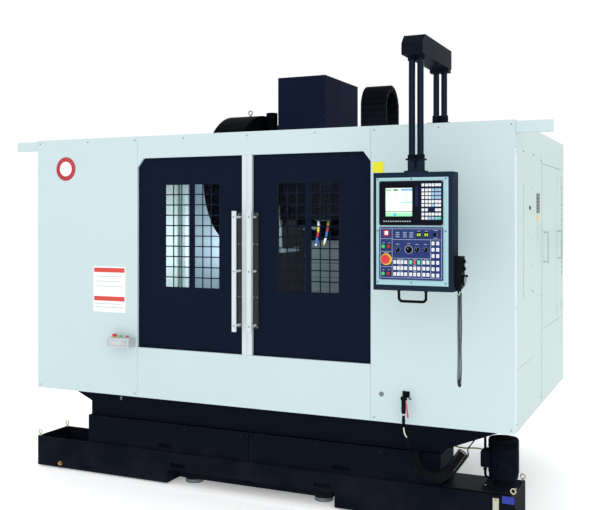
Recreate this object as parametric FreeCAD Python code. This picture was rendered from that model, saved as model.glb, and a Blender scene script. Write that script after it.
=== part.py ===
"""CNC machining center: a vertical mill with a sliding table, in a full sheet-metal enclosure.

Millimetres, +Z up, X to the machine's right, the front faces -Y.  z = 0 is the floor, X = 0 the
middle of the enclosure, and Y = 0 the middle of the whole machine's depth.
"""
import FreeCAD
import Part
import math
import os

Vector = FreeCAD.Vector
UP = Vector(0, 0, 1)

# ---------------------------------------------------------------- driving dimensions
# Enclosure
ENCLOSURE_WIDTH = 4000
ENCLOSURE_BOTTOM = 664
ENCLOSURE_TOP = 2750
ENCLOSURE_DEPTH = 2275
SHEET = 3                    # sheet metal thickness of covers and panels
FRONT_RETURN = 20            # depth of the folded edges of the front panels
SIDE_RETURN = 40             # depth of the folded edges of side, rear and door panels
SEAM = 1.5                   # gap between neighbouring panels
FRAME_TUBE = 60              # square tube that carries the enclosure
FRAME_WALL = 4
FRAME_INSET = 5              # gap between the tubes and the side panels' folded edges

# Door opening, doors and their track
OPENING_HALF_WIDTH = 988
OPENING_BOTTOM = 1062
OPENING_TOP = 2574
CORNER_WIDTH = 55            # chamfered upper corners of the opening
CORNER_HEIGHT = 70
DOOR_SETBACK = 25            # door skin behind the front face
DOOR_OVERLAP = 18            # door reaches this far behind the panels round it
DOOR_TRAVEL = 860
STILE_WIDTH = 41
STILE_GAP = 1                # from the middle to each door's stile
WINDOW_INNER = 255           # first window group starts this far from the middle
WINDOW_BOTTOM = 1555
WINDOW_PITCH_X = 75
WINDOW_PITCH_Z = 81.2
WINDOW_BAR = 9
WINDOW_COLUMNS = 3
WINDOW_ROWS = 10
WINDOW_GROUP_GAP = 40
GLASS = 6
HANDLE_X = 64
HANDLE_WIDTH = 34
HANDLE_THICK = 12
HANDLE_REACH = 85            # middle of the handle bar in front of the front face
HANDLE_BOTTOM = 1245
HANDLE_TOP = 2150
BACKING_WIDTH = 45
BACKING_THICK = 8
TRACK_HALF_LENGTH = 2240
TRACK_BOTTOM = 2667
TRACK_TOP = 2743
TRACK_FRONT = 22             # track behind the front face
TRACK_DEPTH = 40
TRACK_WALL = 4
TRACK_SLOT = 12
ROLLER_RADIUS = 18
HANGER_THICK = 4

# Electrical cabinet in the right side, and its two doors
CABINET_FRONT = 1150
CABINET_SPLIT = 1885
CABINET_REAR = 2110
CABINET_BOTTOM = 1230
CABINET_TOP = 2520
CABINET_DEPTH = 335
CABINET_DOOR_RETURN = 25
DOOR_GAP = 3
PULL_RADIUS = 8
PULL_REACH = 38
PULL_BOTTOM = 1745
PULL_TOP = 1996
PULL_INSET = 20

# Screwed cover on the right side
COVER_FRONT = 301
COVER_REAR = 628
COVER_BOTTOM = 1544
COVER_TOP = 2340
COVER_SCREWS = 5
COVER_SCREW_RADIUS = 6

# Bed, column and ways
PAD_HEIGHT = 40
PAD_RADIUS = 70
BED_HALF_WIDTH = 650
BED_REAR = 2790
BED_WALL = 45
BED_FOOT_HEIGHT = 60
BED_FOOT_FRONT = 100
WAY_INNER = 300
WAY_WIDTH = 120
WAY_HEIGHT = 64
SPINDLE_Y = 1180             # spindle axis behind the front face
COLUMN_HALF_WIDTH = 430
COLUMN_FRONT = 2045
COLUMN_DEPTH = 715
COLUMN_TOP = 2900
RAIL_INNER = 230
RAIL_WIDTH = 100
RAIL_DEPTH = 45
RAIL_BOTTOM = 1130
WAY_CLEARANCE = 0.3

# Saddle, table, head
SADDLE_HALF_LENGTH = 800
SADDLE_HALF_DEPTH = 300
SADDLE_TOP = 870
X_WAY_HEIGHT = 30
TABLE_HALF_LENGTH = 900
TABLE_HALF_DEPTH = 400
TABLE_TOP = 1100
SLOT_WIDTH = 18
SLOT_PITCH = 140
SLOT_COUNT = 5
HEAD_HALF_WIDTH = 200
HEAD_FRONT = 1010
HEAD_BOTTOM = 2080
HEAD_TOP = 2650
GUIDE_BOTTOM = 1880
GUIDE_TOP = 2620
GUIDE_THICK = 60
HEAD_FLANGE = 10
COVER_HALF_WIDTH = 222
HEAD_COVER_FRONT = 1000
HEAD_COVER_REAR = 1780
HEAD_COVER_TOP = 3311
SPINDLE_RADIUS = 50
NOSE_RADIUS = 64
NOSE_HEIGHT = 28
QUILL_RADIUS = 120
TAPER_MOUTH = 22.2
TAPER_DEPTH = 68
RUNNING_GAP = 0.05
SHIELD_BOTTOM = 900
SHIELD_THICK = 14
SHIELD_HALF_WIDTH = 350
SHIELD_CLEARANCE = 2

# Tool magazine and arm
MAGAZINE_RADIUS = 575
MAGAZINE_LEFT = -720
MAGAZINE_RIGHT = -420
MAGAZINE_Z = 2430
MAGAZINE_WALL = 4
DISC_RADIUS = 470
DISC_THICK = 40
POT_COUNT = 24
POT_CIRCLE = 430
POT_RADIUS = 42
POT_LENGTH = 110
AXLE_RADIUS = 30
ARM_X = -295
ARM_TOP = 1830
ARM_THICK = 40
ARM_HALF_WIDTH = 35
ARM_SHAFT = 25
ARM_MOTOR_TOP = 3032
ARM_MOTOR_RADIUS = 50

# Cable carrier beside the head
CARRIER_X = 611
CARRIER_WIDTH = 212
CARRIER_OUTER = 190
CARRIER_THICK = 60
CARRIER_TOP = 3228
CARRIER_Y = 1290

# Coolant tank, trays, chute, pump
TANK_BOTTOM = 10
TANK_TOP = 253
TANK_DEPTH = 380
TANK_SHEET = 5
BELLY_HALF_WIDTH = 712
BELLY_BOTTOM = 115
TANK_SLOT_INNER = 548
TANK_SLOT_OUTER = 685
TANK_SLOT_BOTTOM = 142
TANK_SLOT_TOP = 173
APRON_GAP = 25
TRAY_HALF_WIDTH = 1490
TRAY_FRONT = 25
TRAY_TOP = 472
TRAY_SLOT_INNER = 675
TRAY_SLOT_OUTER = 815
TRAY_SLOT_BOTTOM = 275
TRAY_SLOT_TOP = 306
CHUTE_FRONT = 55
CHUTE_HALF_WIDTH = 1480
CHUTE_KNEE = 585
CHUTE_RIGHT_KNEE = 490
CHUTE_LEFT_TOP = 1655
CHUTE_RIGHT_TOP = 1905
PUMP_X = 1878
PUMP_Y = 235
PUMP_RADIUS = 100
PUMP_TOP = 577
PUMP_STEM_RADIUS = 60
EYE_RADIUS = 16
EYE_WIRE = 4.5

# Push-button box on the left front panel
BUTTON_BOX_LEFT = -1222
BUTTON_BOX_RIGHT = -1005
BUTTON_BOX_BOTTOM = 1064
BUTTON_BOX_TOP = 1139
BUTTON_BOX_REACH = 100
BUTTON_STEM = 7
BUTTON_GAP = 0.4

# Operator pendant
PENDANT_LEFT = 1209
PENDANT_RIGHT = 1727
PENDANT_BOTTOM = 1640
PENDANT_TOP = 2387
PENDANT_FACE = 560           # pendant face in front of the enclosure
PENDANT_DEPTH = 132
PENDANT_RIM = 19             # width of the housing's rim at the left; the others follow
PENDANT_RIM_RIGHT = 27
PENDANT_RIM_TOP = 32
PENDANT_RIM_LOW = 34
PENDANT_RECESS = 14
SCREEN_BOTTOM = 2053
SCREEN_TOP = 2332
OPERATOR_BOTTOM = 1709
OPERATOR_TOP = 2041
UNIT_INSET = 41              # screen unit and operator panel inside the pendant's sides
UNIT_RIGHT_INSET = 61
UNIT_PROUD = 6
POST_X = 1472
POST_PITCH = 56
POST_RADIUS = 21
POST_REAR = 80
POST_FRONT = 490
CLAMP_HEIGHT = 60
CLAMP_RADIUS = 27.5
BEAM_WIDTH = 140
BEAM_BOTTOM = 3127
BEAM_TOP = 3255
BEAM_FRONT = 580
BEAM_REAR = 117
BEAM_BEVEL = 55
BEAM_WALL = 5
SWIVEL_RADIUS = 20
SWIVEL_GAP = 3
NECK_HEIGHT = 75
KNOB_RADIUS = 13
KNOB_REACH = 18
ESTOP_RADIUS = 28
ESTOP_REACH = 34
GRIP_RADIUS = 9
GRIP_DROP = 80
WHEEL_BOX_WIDTH = 42
WHEEL_BOX_BOTTOM = 1669
WHEEL_BOX_TOP = 1861
WHEEL_RADIUS = 32
CURLY_RADIUS = 9

# Air gun
GUN_X = 1251
GUN_Y = -60
GUN_TOP = 862
GUN_BOTTOM = 690
OUTLET_X = 1735              # compressed-air outlet behind the right front panel's lower edge
OUTLET_Y = FRONT_RETURN + 14
OUTLET_Z = 640
HOSE_RADIUS = 4.5
COIL_RADIUS = 42

# The enclosure's front face stands where the whole depth, from the pendant's emergency stop to
# the back of the bed, is centred on Y = 0.
PENDANT_NOSE = PENDANT_FACE + UNIT_PROUD + ESTOP_REACH
FRONT_Y = -(BED_REAR - PENDANT_NOSE) / 2

HALF_WIDTH = ENCLOSURE_WIDTH / 2
BED_FRONT = TANK_DEPTH + 15
BED_TOP = ENCLOSURE_BOTTOM - FRAME_TUBE
NOSE_BOTTOM = HEAD_BOTTOM - 80


# ---------------------------------------------------------------- helpers
def back(distance):
    """Y at this distance behind the enclosure's front face."""
    return FRONT_Y + distance


def box(x, y, z):
    """Block from (low, high) pairs; y is measured behind the front face."""
    corner = Vector(x[0], back(y[0]), z[0])
    return Part.makeBox(x[1] - x[0], y[1] - y[0], z[1] - z[0], corner)


def rod(start, end, radius):
    """Round bar between two points; their y is measured behind the front face."""
    first = Vector(start[0], back(start[1]), start[2])
    last = Vector(end[0], back(end[1]), end[2])
    return Part.makeCylinder(radius, (last - first).Length, first, last - first)


def fuse(shapes):
    return shapes[0].multiFuse(shapes[1:]).removeSplitter()


def group(shapes):
    """Separate solids that share one node."""
    return Part.makeCompound(shapes)


def mirrored(shape):
    return shape.mirror(Vector(0, 0, 0), Vector(1, 0, 0))


def pan(x, y, z, opens, sheet=SHEET):
    """Folded panel: a skin with edges folded round, open on one side ("+y", "-x" and so on)."""
    spans = {"x": list(x), "y": list(y), "z": list(z)}
    inner = {key: [span[0] + sheet, span[1] - sheet] for key, span in spans.items()}
    side = opens[1]
    if opens[0] == "+":
        inner[side][1] = spans[side][1] + sheet
    else:
        inner[side][0] = spans[side][0] - sheet
    return box(x, y, z).cut(box(inner["x"], inner["y"], inner["z"]))


def square_tube(x, y, z, along):
    """Square tube filling the box, hollow along one axis."""
    spans = {"x": x, "y": y, "z": z}
    inner = {}
    for key, span in spans.items():
        inset = -1 if key == along else FRAME_WALL
        inner[key] = (span[0] + inset, span[1] - inset)
    return box(x, y, z).cut(box(inner["x"], inner["y"], inner["z"]))


def prism_x(outline, x):
    """Outline in (y behind the front face, z), extruded over the x span."""
    points = [Vector(x[0], back(y), z) for y, z in outline]
    face = Part.Face(Part.makePolygon(points + points[:1]))
    return face.extrude(Vector(x[1] - x[0], 0, 0))


def prism_y(outline, y):
    """Outline in (x, z), extruded over the y span."""
    points = [Vector(px, back(y[0]), pz) for px, pz in outline]
    face = Part.Face(Part.makePolygon(points + points[:1]))
    return face.extrude(Vector(0, y[1] - y[0], 0))


def routed_tube(route, radius, name):
    """Tube along straight runs joined by tangent arcs; route y is behind the front face."""
    points = [Vector(x, back(y), z) for x, y, z in route]
    edges = []
    radii = []
    start = points[0]
    for index in range(1, len(points) - 1):
        before = points[index] - points[index - 1]
        after = points[index + 1] - points[index]
        half_turn = before.getAngle(after) / 2
        arm = 0.45 * min(before.Length, after.Length)
        radii.append(arm / math.tan(half_turn))
        inward = (before * -1).normalize()
        onward = Vector(after).normalize()
        first = points[index] + inward * arm
        last = points[index] + onward * arm
        centre_line = (inward + onward).normalize()
        centre = points[index] + centre_line * (radii[-1] / math.cos(half_turn))
        middle = centre - centre_line * radii[-1]
        edges.append(Part.LineSegment(start, first).toShape())
        edges.append(Part.Arc(first, middle, last).toShape())
        start = last
    edges.append(Part.LineSegment(start, points[-1]).toShape())
    path = Part.Wire(edges)
    direction = points[1] - points[0]
    section = Part.Wire([Part.makeCircle(radius, points[0], direction)])
    tube = path.makePipeShell([section], True, False)
    expected = math.pi * radius ** 2 * path.Length
    print(name, "length", round(path.Length), "smallest radius", round(min(radii), 1),
          "volume ratio", round(tube.Volume / expected, 4))
    return tube


def export(node, shape):
    shape.exportStep("parts/" + node + ".step")


# ---------------------------------------------------------------- bed and column
def make_bed():
    """Ribbed iron casting, open below, with a low foot under the tank and two flat ways."""
    body = box((-BED_HALF_WIDTH, BED_HALF_WIDTH), (BED_FRONT, BED_REAR), (PAD_HEIGHT, BED_TOP))
    cells_x = 3
    cells_y = 5
    width = (2 * BED_HALF_WIDTH - BED_WALL * (cells_x + 1)) / cells_x
    length = (BED_REAR - BED_FRONT - BED_WALL * (cells_y + 1)) / cells_y
    for column in range(cells_x):
        for row in range(cells_y):
            x = -BED_HALF_WIDTH + BED_WALL + column * (width + BED_WALL)
            y = BED_FRONT + BED_WALL + row * (length + BED_WALL)
            cell = box((x, x + width), (y, y + length), (PAD_HEIGHT - 1, BED_TOP - BED_WALL))
            body = body.cut(cell)
    foot = box((-BED_HALF_WIDTH, BED_HALF_WIDTH), (BED_FOOT_FRONT, BED_FRONT),
               (PAD_HEIGHT, PAD_HEIGHT + BED_FOOT_HEIGHT))
    way = box((WAY_INNER, WAY_INNER + WAY_WIDTH), (BED_FRONT + FRAME_TUBE + 15, COLUMN_FRONT - RAIL_DEPTH),
              (BED_TOP, BED_TOP + WAY_HEIGHT))
    return fuse([body, foot, way, mirrored(way)])


def make_leveling_pads():
    pads = []
    rows = (BED_FOOT_FRONT + PAD_RADIUS, BED_FRONT + 300, SPINDLE_Y, 1900, BED_REAR - 120)
    for side in (-1, 1):
        for y in rows:
            x = side * (BED_HALF_WIDTH - PAD_RADIUS - 20)
            disc = rod((x, y, 0), (x, y, 28), PAD_RADIUS)
            stud = rod((x, y, 28), (x, y, PAD_HEIGHT), 24)
            pads.append(fuse([disc, stud]))
    return group(pads)


def make_column():
    """Casting open at the back, with two rails down its front and a ledge for the way shield."""
    width = (-COLUMN_HALF_WIDTH, COLUMN_HALF_WIDTH)
    body = box(width, (COLUMN_FRONT, COLUMN_FRONT + COLUMN_DEPTH), (BED_TOP, COLUMN_TOP))
    pocket_width = (2 * COLUMN_HALF_WIDTH - 3 * BED_WALL) / 2
    pocket_height = (COLUMN_TOP - BED_TOP - 4 * BED_WALL) / 3
    for column in range(2):
        for row in range(3):
            x = -COLUMN_HALF_WIDTH + BED_WALL + column * (pocket_width + BED_WALL)
            z = BED_TOP + BED_WALL + row * (pocket_height + BED_WALL)
            body = body.cut(box((x, x + pocket_width), (COLUMN_FRONT + BED_WALL,
                                                        COLUMN_FRONT + COLUMN_DEPTH + 1),
                                (z, z + pocket_height)))
    rail = box((RAIL_INNER, RAIL_INNER + RAIL_WIDTH), (COLUMN_FRONT - RAIL_DEPTH, COLUMN_FRONT),
               (RAIL_BOTTOM, COLUMN_TOP - 20))
    shield_back = COLUMN_FRONT - RAIL_DEPTH - SHIELD_CLEARANCE
    ledge = box((-SHIELD_HALF_WIDTH, SHIELD_HALF_WIDTH), (shield_back - SHIELD_THICK, COLUMN_FRONT),
                (SHIELD_BOTTOM - 20, SHIELD_BOTTOM))
    return fuse([body, rail, mirrored(rail), ledge])


def make_way_shield():
    """Telescopic shield that fills the height between its ledge and the head's guide."""
    shield_back = COLUMN_FRONT - RAIL_DEPTH - SHIELD_CLEARANCE
    width = (-SHIELD_HALF_WIDTH, SHIELD_HALF_WIDTH)
    return box(width, (shield_back - SHIELD_THICK, shield_back),
               (SHIELD_BOTTOM, GUIDE_BOTTOM - SHIELD_CLEARANCE))


# ---------------------------------------------------------------- saddle, table, head
def make_saddle():
    """Casting over the bed ways, with hold-down lips outside them and two X ways on top."""
    bottom = BED_TOP + WAY_HEIGHT + WAY_CLEARANCE
    depth = (SPINDLE_Y - SADDLE_HALF_DEPTH, SPINDLE_Y + SADDLE_HALF_DEPTH)
    body = box((-SADDLE_HALF_LENGTH, SADDLE_HALF_LENGTH), depth, (bottom, SADDLE_TOP))
    outside = WAY_INNER + WAY_WIDTH + WAY_CLEARANCE
    lip = box((outside, outside + 60), depth, (BED_TOP + 5, bottom))
    way = box((-SADDLE_HALF_LENGTH, SADDLE_HALF_LENGTH), (SPINDLE_Y + 170, SPINDLE_Y + 260),
              (SADDLE_TOP, SADDLE_TOP + X_WAY_HEIGHT))
    front_way = way.translated(Vector(0, -430, 0))
    return fuse([body, lip, mirrored(lip), way, front_way])


def make_table():
    """Table with five T-slots along X."""
    bottom = SADDLE_TOP + X_WAY_HEIGHT + WAY_CLEARANCE
    length = (-TABLE_HALF_LENGTH, TABLE_HALF_LENGTH)
    table = box(length, (SPINDLE_Y - TABLE_HALF_DEPTH, SPINDLE_Y + TABLE_HALF_DEPTH), (bottom, TABLE_TOP))
    cuts = []
    for index in range(SLOT_COUNT):
        y = SPINDLE_Y + (index - (SLOT_COUNT - 1) / 2) * SLOT_PITCH
        throat = box((length[0] - 1, length[1] + 1), (y - SLOT_WIDTH / 2, y + SLOT_WIDTH / 2),
                     (TABLE_TOP - 30, TABLE_TOP + 1))
        foot = box((length[0] - 1, length[1] + 1), (y - SLOT_WIDTH * 0.85, y + SLOT_WIDTH * 0.85),
                   (TABLE_TOP - 32, TABLE_TOP - 18))
        cuts += [throat, foot]
    return table.cut(cuts)


def make_head():
    """Head casting: guide on the column rails, arm, spindle housing and cover flange."""
    rail_face = COLUMN_FRONT - RAIL_DEPTH
    guide_front = rail_face - GUIDE_THICK
    arm = box((-HEAD_HALF_WIDTH, HEAD_HALF_WIDTH), (HEAD_FRONT, guide_front + 10), (HEAD_BOTTOM, HEAD_TOP))
    outer = RAIL_INNER + RAIL_WIDTH
    guide = box((-outer - 40, outer + 40), (guide_front, COLUMN_FRONT - 5), (GUIDE_BOTTOM, GUIDE_TOP))
    channel = box((-outer - WAY_CLEARANCE, outer + WAY_CLEARANCE), (rail_face - WAY_CLEARANCE, COLUMN_FRONT),
                  (GUIDE_BOTTOM - 1, GUIDE_TOP + 1))
    quill = rod((0, SPINDLE_Y, NOSE_BOTTOM + NOSE_HEIGHT + 2), (0, SPINDLE_Y, HEAD_BOTTOM + 5), QUILL_RADIUS)
    flange = box((-COVER_HALF_WIDTH, COVER_HALF_WIDTH), (HEAD_COVER_FRONT, HEAD_COVER_REAR),
                 (HEAD_TOP - HEAD_FLANGE, HEAD_TOP))
    motor = rod((0, SPINDLE_Y, HEAD_TOP - 1), (0, SPINDLE_Y, HEAD_TOP + 480), 150)
    bore = rod((0, SPINDLE_Y, NOSE_BOTTOM), (0, SPINDLE_Y, NOSE_BOTTOM + 420), SPINDLE_RADIUS + RUNNING_GAP)
    return fuse([arm, guide.cut(channel), quill, flange, motor]).cut(bore)


def make_head_cover():
    cover = pan((-COVER_HALF_WIDTH, COVER_HALF_WIDTH), (HEAD_COVER_FRONT, HEAD_COVER_REAR),
                (HEAD_TOP, HEAD_COVER_TOP), "-z")
    return cover


def make_spindle():
    """Spindle with its flanged nose and the steep-taper socket for a tool."""
    nose = rod((0, SPINDLE_Y, NOSE_BOTTOM), (0, SPINDLE_Y, NOSE_BOTTOM + NOSE_HEIGHT), NOSE_RADIUS)
    shaft = rod((0, SPINDLE_Y, NOSE_BOTTOM), (0, SPINDLE_Y, NOSE_BOTTOM + 415), SPINDLE_RADIUS)
    top_radius = TAPER_MOUTH - TAPER_DEPTH * 7 / 48
    base = Vector(0, back(SPINDLE_Y), NOSE_BOTTOM)
    taper = Part.makeCone(TAPER_MOUTH, top_radius, TAPER_DEPTH, base, UP)
    keys = []
    for side in (-1, 1):
        x = sorted((side * 34, side * 60))
        keys.append(box(x, (SPINDLE_Y - 8, SPINDLE_Y + 8), (NOSE_BOTTOM - 9, NOSE_BOTTOM + 5)))
    return fuse([nose, shaft] + keys).cut(taper)


# ---------------------------------------------------------------- tool magazine
def make_magazine_cover():
    """Round housing with its axle, the bracket to the column, and the arm's gear case and motor."""
    y = SPINDLE_Y - 30
    outer = rod((MAGAZINE_LEFT, y, MAGAZINE_Z), (MAGAZINE_RIGHT, y, MAGAZINE_Z), MAGAZINE_RADIUS)
    inner = rod((MAGAZINE_LEFT + MAGAZINE_WALL, y, MAGAZINE_Z),
                (MAGAZINE_RIGHT - MAGAZINE_WALL, y, MAGAZINE_Z),
                MAGAZINE_RADIUS - MAGAZINE_WALL)
    bracket = box((MAGAZINE_RIGHT - 140, -COLUMN_HALF_WIDTH), (y + 300, COLUMN_FRONT + 150),
                  (MAGAZINE_Z - 100, MAGAZINE_Z + 100))
    mouth = box((MAGAZINE_LEFT - 1, MAGAZINE_RIGHT + 1), (y - 90, y + 90),
                (MAGAZINE_Z - MAGAZINE_RADIUS - 1, MAGAZINE_Z - DISC_RADIUS - 10))
    shell = outer.fuse(bracket).cut([inner, mouth])
    axle = rod((MAGAZINE_LEFT + 1, y, MAGAZINE_Z), (MAGAZINE_LEFT + 165, y, MAGAZINE_Z), AXLE_RADIUS)
    case = box((MAGAZINE_RIGHT, ARM_X + 40), (SPINDLE_Y - 100, SPINDLE_Y + 100), (2200, 2700))
    motor_x = MAGAZINE_RIGHT + ARM_MOTOR_RADIUS
    motor = rod((motor_x, SPINDLE_Y, 2699), (motor_x, SPINDLE_Y, ARM_MOTOR_TOP), ARM_MOTOR_RADIUS)
    socket = rod((ARM_X, SPINDLE_Y, 2199), (ARM_X, SPINDLE_Y, 2401), ARM_SHAFT + RUNNING_GAP)
    return fuse([shell, axle, fuse([case, motor]).cut(socket)])


def make_magazine_disc():
    """Disc on the housing's axle, and its tool pots."""
    y = SPINDLE_Y - 30
    left = MAGAZINE_LEFT + 60
    disc = rod((left, y, MAGAZINE_Z), (left + DISC_THICK, y, MAGAZINE_Z), DISC_RADIUS)
    hub = rod((left, y, MAGAZINE_Z), (left + 100, y, MAGAZINE_Z), 3 * AXLE_RADIUS)
    bore = rod((left - 1, y, MAGAZINE_Z), (left + 102, y, MAGAZINE_Z), AXLE_RADIUS + RUNNING_GAP)
    solids = [fuse([disc, hub]).cut(bore)]
    for index in range(POT_COUNT):
        angle = 2 * math.pi * index / POT_COUNT
        pot_y = y + POT_CIRCLE * math.sin(angle)
        pot_z = MAGAZINE_Z - POT_CIRCLE * math.cos(angle)
        start = left + DISC_THICK
        pot = rod((start, pot_y, pot_z), (start + POT_LENGTH, pot_y, pot_z), POT_RADIUS)
        socket = rod((start + 10, pot_y, pot_z), (start + POT_LENGTH + 1, pot_y, pot_z), POT_RADIUS * 0.55)
        solids.append(pot.cut(socket))
    return group(solids)


def make_tool_arm():
    """Double-ended arm, parked along Y, with a half-round gripper at each end."""
    reach = -ARM_X
    z = (ARM_TOP - ARM_THICK, ARM_TOP)
    bar = box((ARM_X - ARM_HALF_WIDTH, ARM_X + ARM_HALF_WIDTH), (SPINDLE_Y - reach, SPINDLE_Y + reach), z)
    hub = rod((ARM_X, SPINDLE_Y, z[0]), (ARM_X, SPINDLE_Y, z[1]), 60)
    shaft = rod((ARM_X, SPINDLE_Y, z[1] - 5), (ARM_X, SPINDLE_Y, 2400), ARM_SHAFT)
    solid = fuse([bar, hub, shaft])
    for side in (-1, 1):
        y = SPINDLE_Y + side * reach
        jaw = rod((ARM_X, y, z[0]), (ARM_X, y, z[1]), ARM_HALF_WIDTH + 14)
        throat = rod((ARM_X, y, z[0] - 1), (ARM_X, y, z[1] + 1), ARM_HALF_WIDTH - 4)
        edges = sorted((side, side * 60))
        half = box((ARM_X - 60, ARM_X + 60), (y + edges[0] + side * 12, y + edges[1] + side * 12),
                   (z[0] - 1, z[1] + 1))
        solid = solid.fuse(jaw).cut([throat, half])
    return solid


def make_cable_carrier():
    """Carrier loop beside the head cover, rolling front to back, on a beam from the column's side."""
    outer = CARRIER_OUTER
    inner = outer - CARRIER_THICK
    x = (CARRIER_X - CARRIER_WIDTH / 2, CARRIER_X + CARRIER_WIDTH / 2)
    centre_z = CARRIER_TOP - outer
    leg_bottom = ENCLOSURE_TOP + 10
    dome = rod((x[0], CARRIER_Y, centre_z), (x[1], CARRIER_Y, centre_z), outer)
    hollow = rod((x[0] - 1, CARRIER_Y, centre_z), (x[1] + 1, CARRIER_Y, centre_z), inner)
    below = box((x[0] - 1, x[1] + 1), (CARRIER_Y - outer - 1, CARRIER_Y + outer + 1),
                (centre_z - outer - 1, centre_z))
    dome = dome.cut([hollow, below])
    rear = box(x, (CARRIER_Y + inner, CARRIER_Y + outer), (leg_bottom, centre_z))
    front = box(x, (CARRIER_Y - outer, CARRIER_Y - inner), (leg_bottom + 60, centre_z))
    beam_z = (leg_bottom - 70, leg_bottom)
    beam = box(x, (CARRIER_Y + inner - 20, COLUMN_FRONT + 120), beam_z)
    tie = box((COLUMN_HALF_WIDTH, x[0]), (COLUMN_FRONT + 20, COLUMN_FRONT + 120), beam_z)
    return group([fuse([dome, rear, front]), fuse([beam, tie])])


# ---------------------------------------------------------------- enclosure
def make_frame_tubes():
    """Square tubes that carry the panels: two cross tubes on the bed, sills, posts and top tubes."""
    outer = HALF_WIDTH - SIDE_RETURN - FRAME_INSET
    inner = outer - FRAME_TUBE
    rear = ENCLOSURE_DEPTH - SIDE_RETURN / 2 - 5
    sill_top = ENCLOSURE_BOTTOM + FRAME_TUBE
    top = ENCLOSURE_TOP - SIDE_RETURN / 2 - 4
    front_post = TRACK_FRONT + TRACK_DEPTH + 8
    tubes = [square_tube((-outer, outer), (BED_FRONT + 5, BED_FRONT + 5 + FRAME_TUBE),
                         (BED_TOP, ENCLOSURE_BOTTOM), "x")]
    for side in (-1, 1):
        x = sorted((side * inner, side * outer))
        cross = sorted((side * (COLUMN_HALF_WIDTH + 10), side * outer))
        tubes.append(square_tube(cross, (rear - FRAME_TUBE, rear), (BED_TOP, ENCLOSURE_BOTTOM), "x"))
        tubes.append(square_tube(x, (FRONT_RETURN + 2, rear), (ENCLOSURE_BOTTOM, sill_top), "y"))
        tubes.append(square_tube(x, (front_post, front_post + FRAME_TUBE), (sill_top, top), "z"))
        tubes.append(square_tube(x, (rear - FRAME_TUBE, rear), (sill_top, top), "z"))
        tubes.append(square_tube(x, (front_post + FRAME_TUBE, rear - FRAME_TUBE), (top - FRAME_TUBE, top),
                                 "y"))
    return group(tubes)


def make_front_panels():
    """The wide panels left and right of the doors."""
    right = pan((OPENING_HALF_WIDTH + SEAM, HALF_WIDTH), (0, FRONT_RETURN),
                (ENCLOSURE_BOTTOM, ENCLOSURE_TOP), "+y")
    return group([mirrored(right), right])


def make_header_and_sill():
    """Panels above and below the doors; the header carries the opening's two corner plates."""
    width = (-OPENING_HALF_WIDTH, OPENING_HALF_WIDTH)
    header = pan(width, (0, FRONT_RETURN), (OPENING_TOP, ENCLOSURE_TOP), "+y")
    corner = prism_y([(OPENING_HALF_WIDTH, OPENING_TOP + 1), (OPENING_HALF_WIDTH - CORNER_WIDTH,
                                                              OPENING_TOP + 1),
                      (OPENING_HALF_WIDTH - CORNER_WIDTH, OPENING_TOP),
                      (OPENING_HALF_WIDTH, OPENING_TOP - CORNER_HEIGHT)], (0, FRONT_RETURN))
    sill = pan(width, (0, FRONT_RETURN), (ENCLOSURE_BOTTOM, OPENING_BOTTOM), "+y")
    return group([fuse([header, corner, mirrored(corner)]), sill])


def track_notch():
    """Room for the door track where it passes through the side panels' front corners."""
    span = HALF_WIDTH + 5
    return box((-span, span), (FRONT_RETURN - 5, TRACK_FRONT + TRACK_DEPTH + 1),
               (TRACK_BOTTOM - 1, TRACK_TOP + 1))


def side_slab(y, z):
    return pan((HALF_WIDTH - SIDE_RETURN, HALF_WIDTH), y, z, "-x")


def make_side_panels():
    """Left: two tall panels.  Right: panels round the cabinet doors, and a screwed cover."""
    height = (ENCLOSURE_BOTTOM, ENCLOSURE_TOP)
    front = FRONT_RETURN + 0.5
    rear = ENCLOSURE_DEPTH - FRONT_RETURN - 0.5
    split = CABINET_FRONT - 80
    front_right = side_slab((front, split), height).cut(track_notch())
    left = [mirrored(front_right), mirrored(side_slab((split + SEAM, rear), height))]
    right = [front_right,
             side_slab((split + SEAM, rear), (CABINET_TOP, ENCLOSURE_TOP)),
             side_slab((split + SEAM, rear), (ENCLOSURE_BOTTOM, CABINET_BOTTOM)),
             side_slab((split + SEAM, CABINET_FRONT), (CABINET_BOTTOM + SEAM, CABINET_TOP - SEAM)),
             side_slab((CABINET_REAR, rear), (CABINET_BOTTOM + SEAM, CABINET_TOP - SEAM))]
    plate = box((HALF_WIDTH, HALF_WIDTH + SHEET), (COVER_FRONT, COVER_REAR), (COVER_BOTTOM, COVER_TOP))
    screws = []
    step = (COVER_TOP - COVER_BOTTOM - 60) / (COVER_SCREWS - 1)
    for y in (COVER_FRONT + 18, COVER_REAR - 18):
        for index in range(COVER_SCREWS):
            z = COVER_BOTTOM + 30 + index * step
            screws.append(rod((HALF_WIDTH + SHEET, y, z), (HALF_WIDTH + SHEET + 3, y, z), COVER_SCREW_RADIUS))
    return group(left + right + [plate] + screws)


def make_rear_and_roof_panels():
    """Rear panels either side of the column, and roof panels outboard of the open middle."""
    y = (ENCLOSURE_DEPTH - FRONT_RETURN, ENCLOSURE_DEPTH)
    rear = pan((COLUMN_HALF_WIDTH + 10, HALF_WIDTH), y, (ENCLOSURE_BOTTOM, ENCLOSURE_TOP), "-y")
    front = TRACK_FRONT + TRACK_DEPTH + 3
    roof = pan((OPENING_HALF_WIDTH + 160, HALF_WIDTH - SIDE_RETURN - 2),
               (front, ENCLOSURE_DEPTH - FRONT_RETURN - 3),
               (ENCLOSURE_TOP - FRONT_RETURN - 2, ENCLOSURE_TOP - 2), "-z")
    return group([rear, mirrored(rear), roof, mirrored(roof)])


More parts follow.
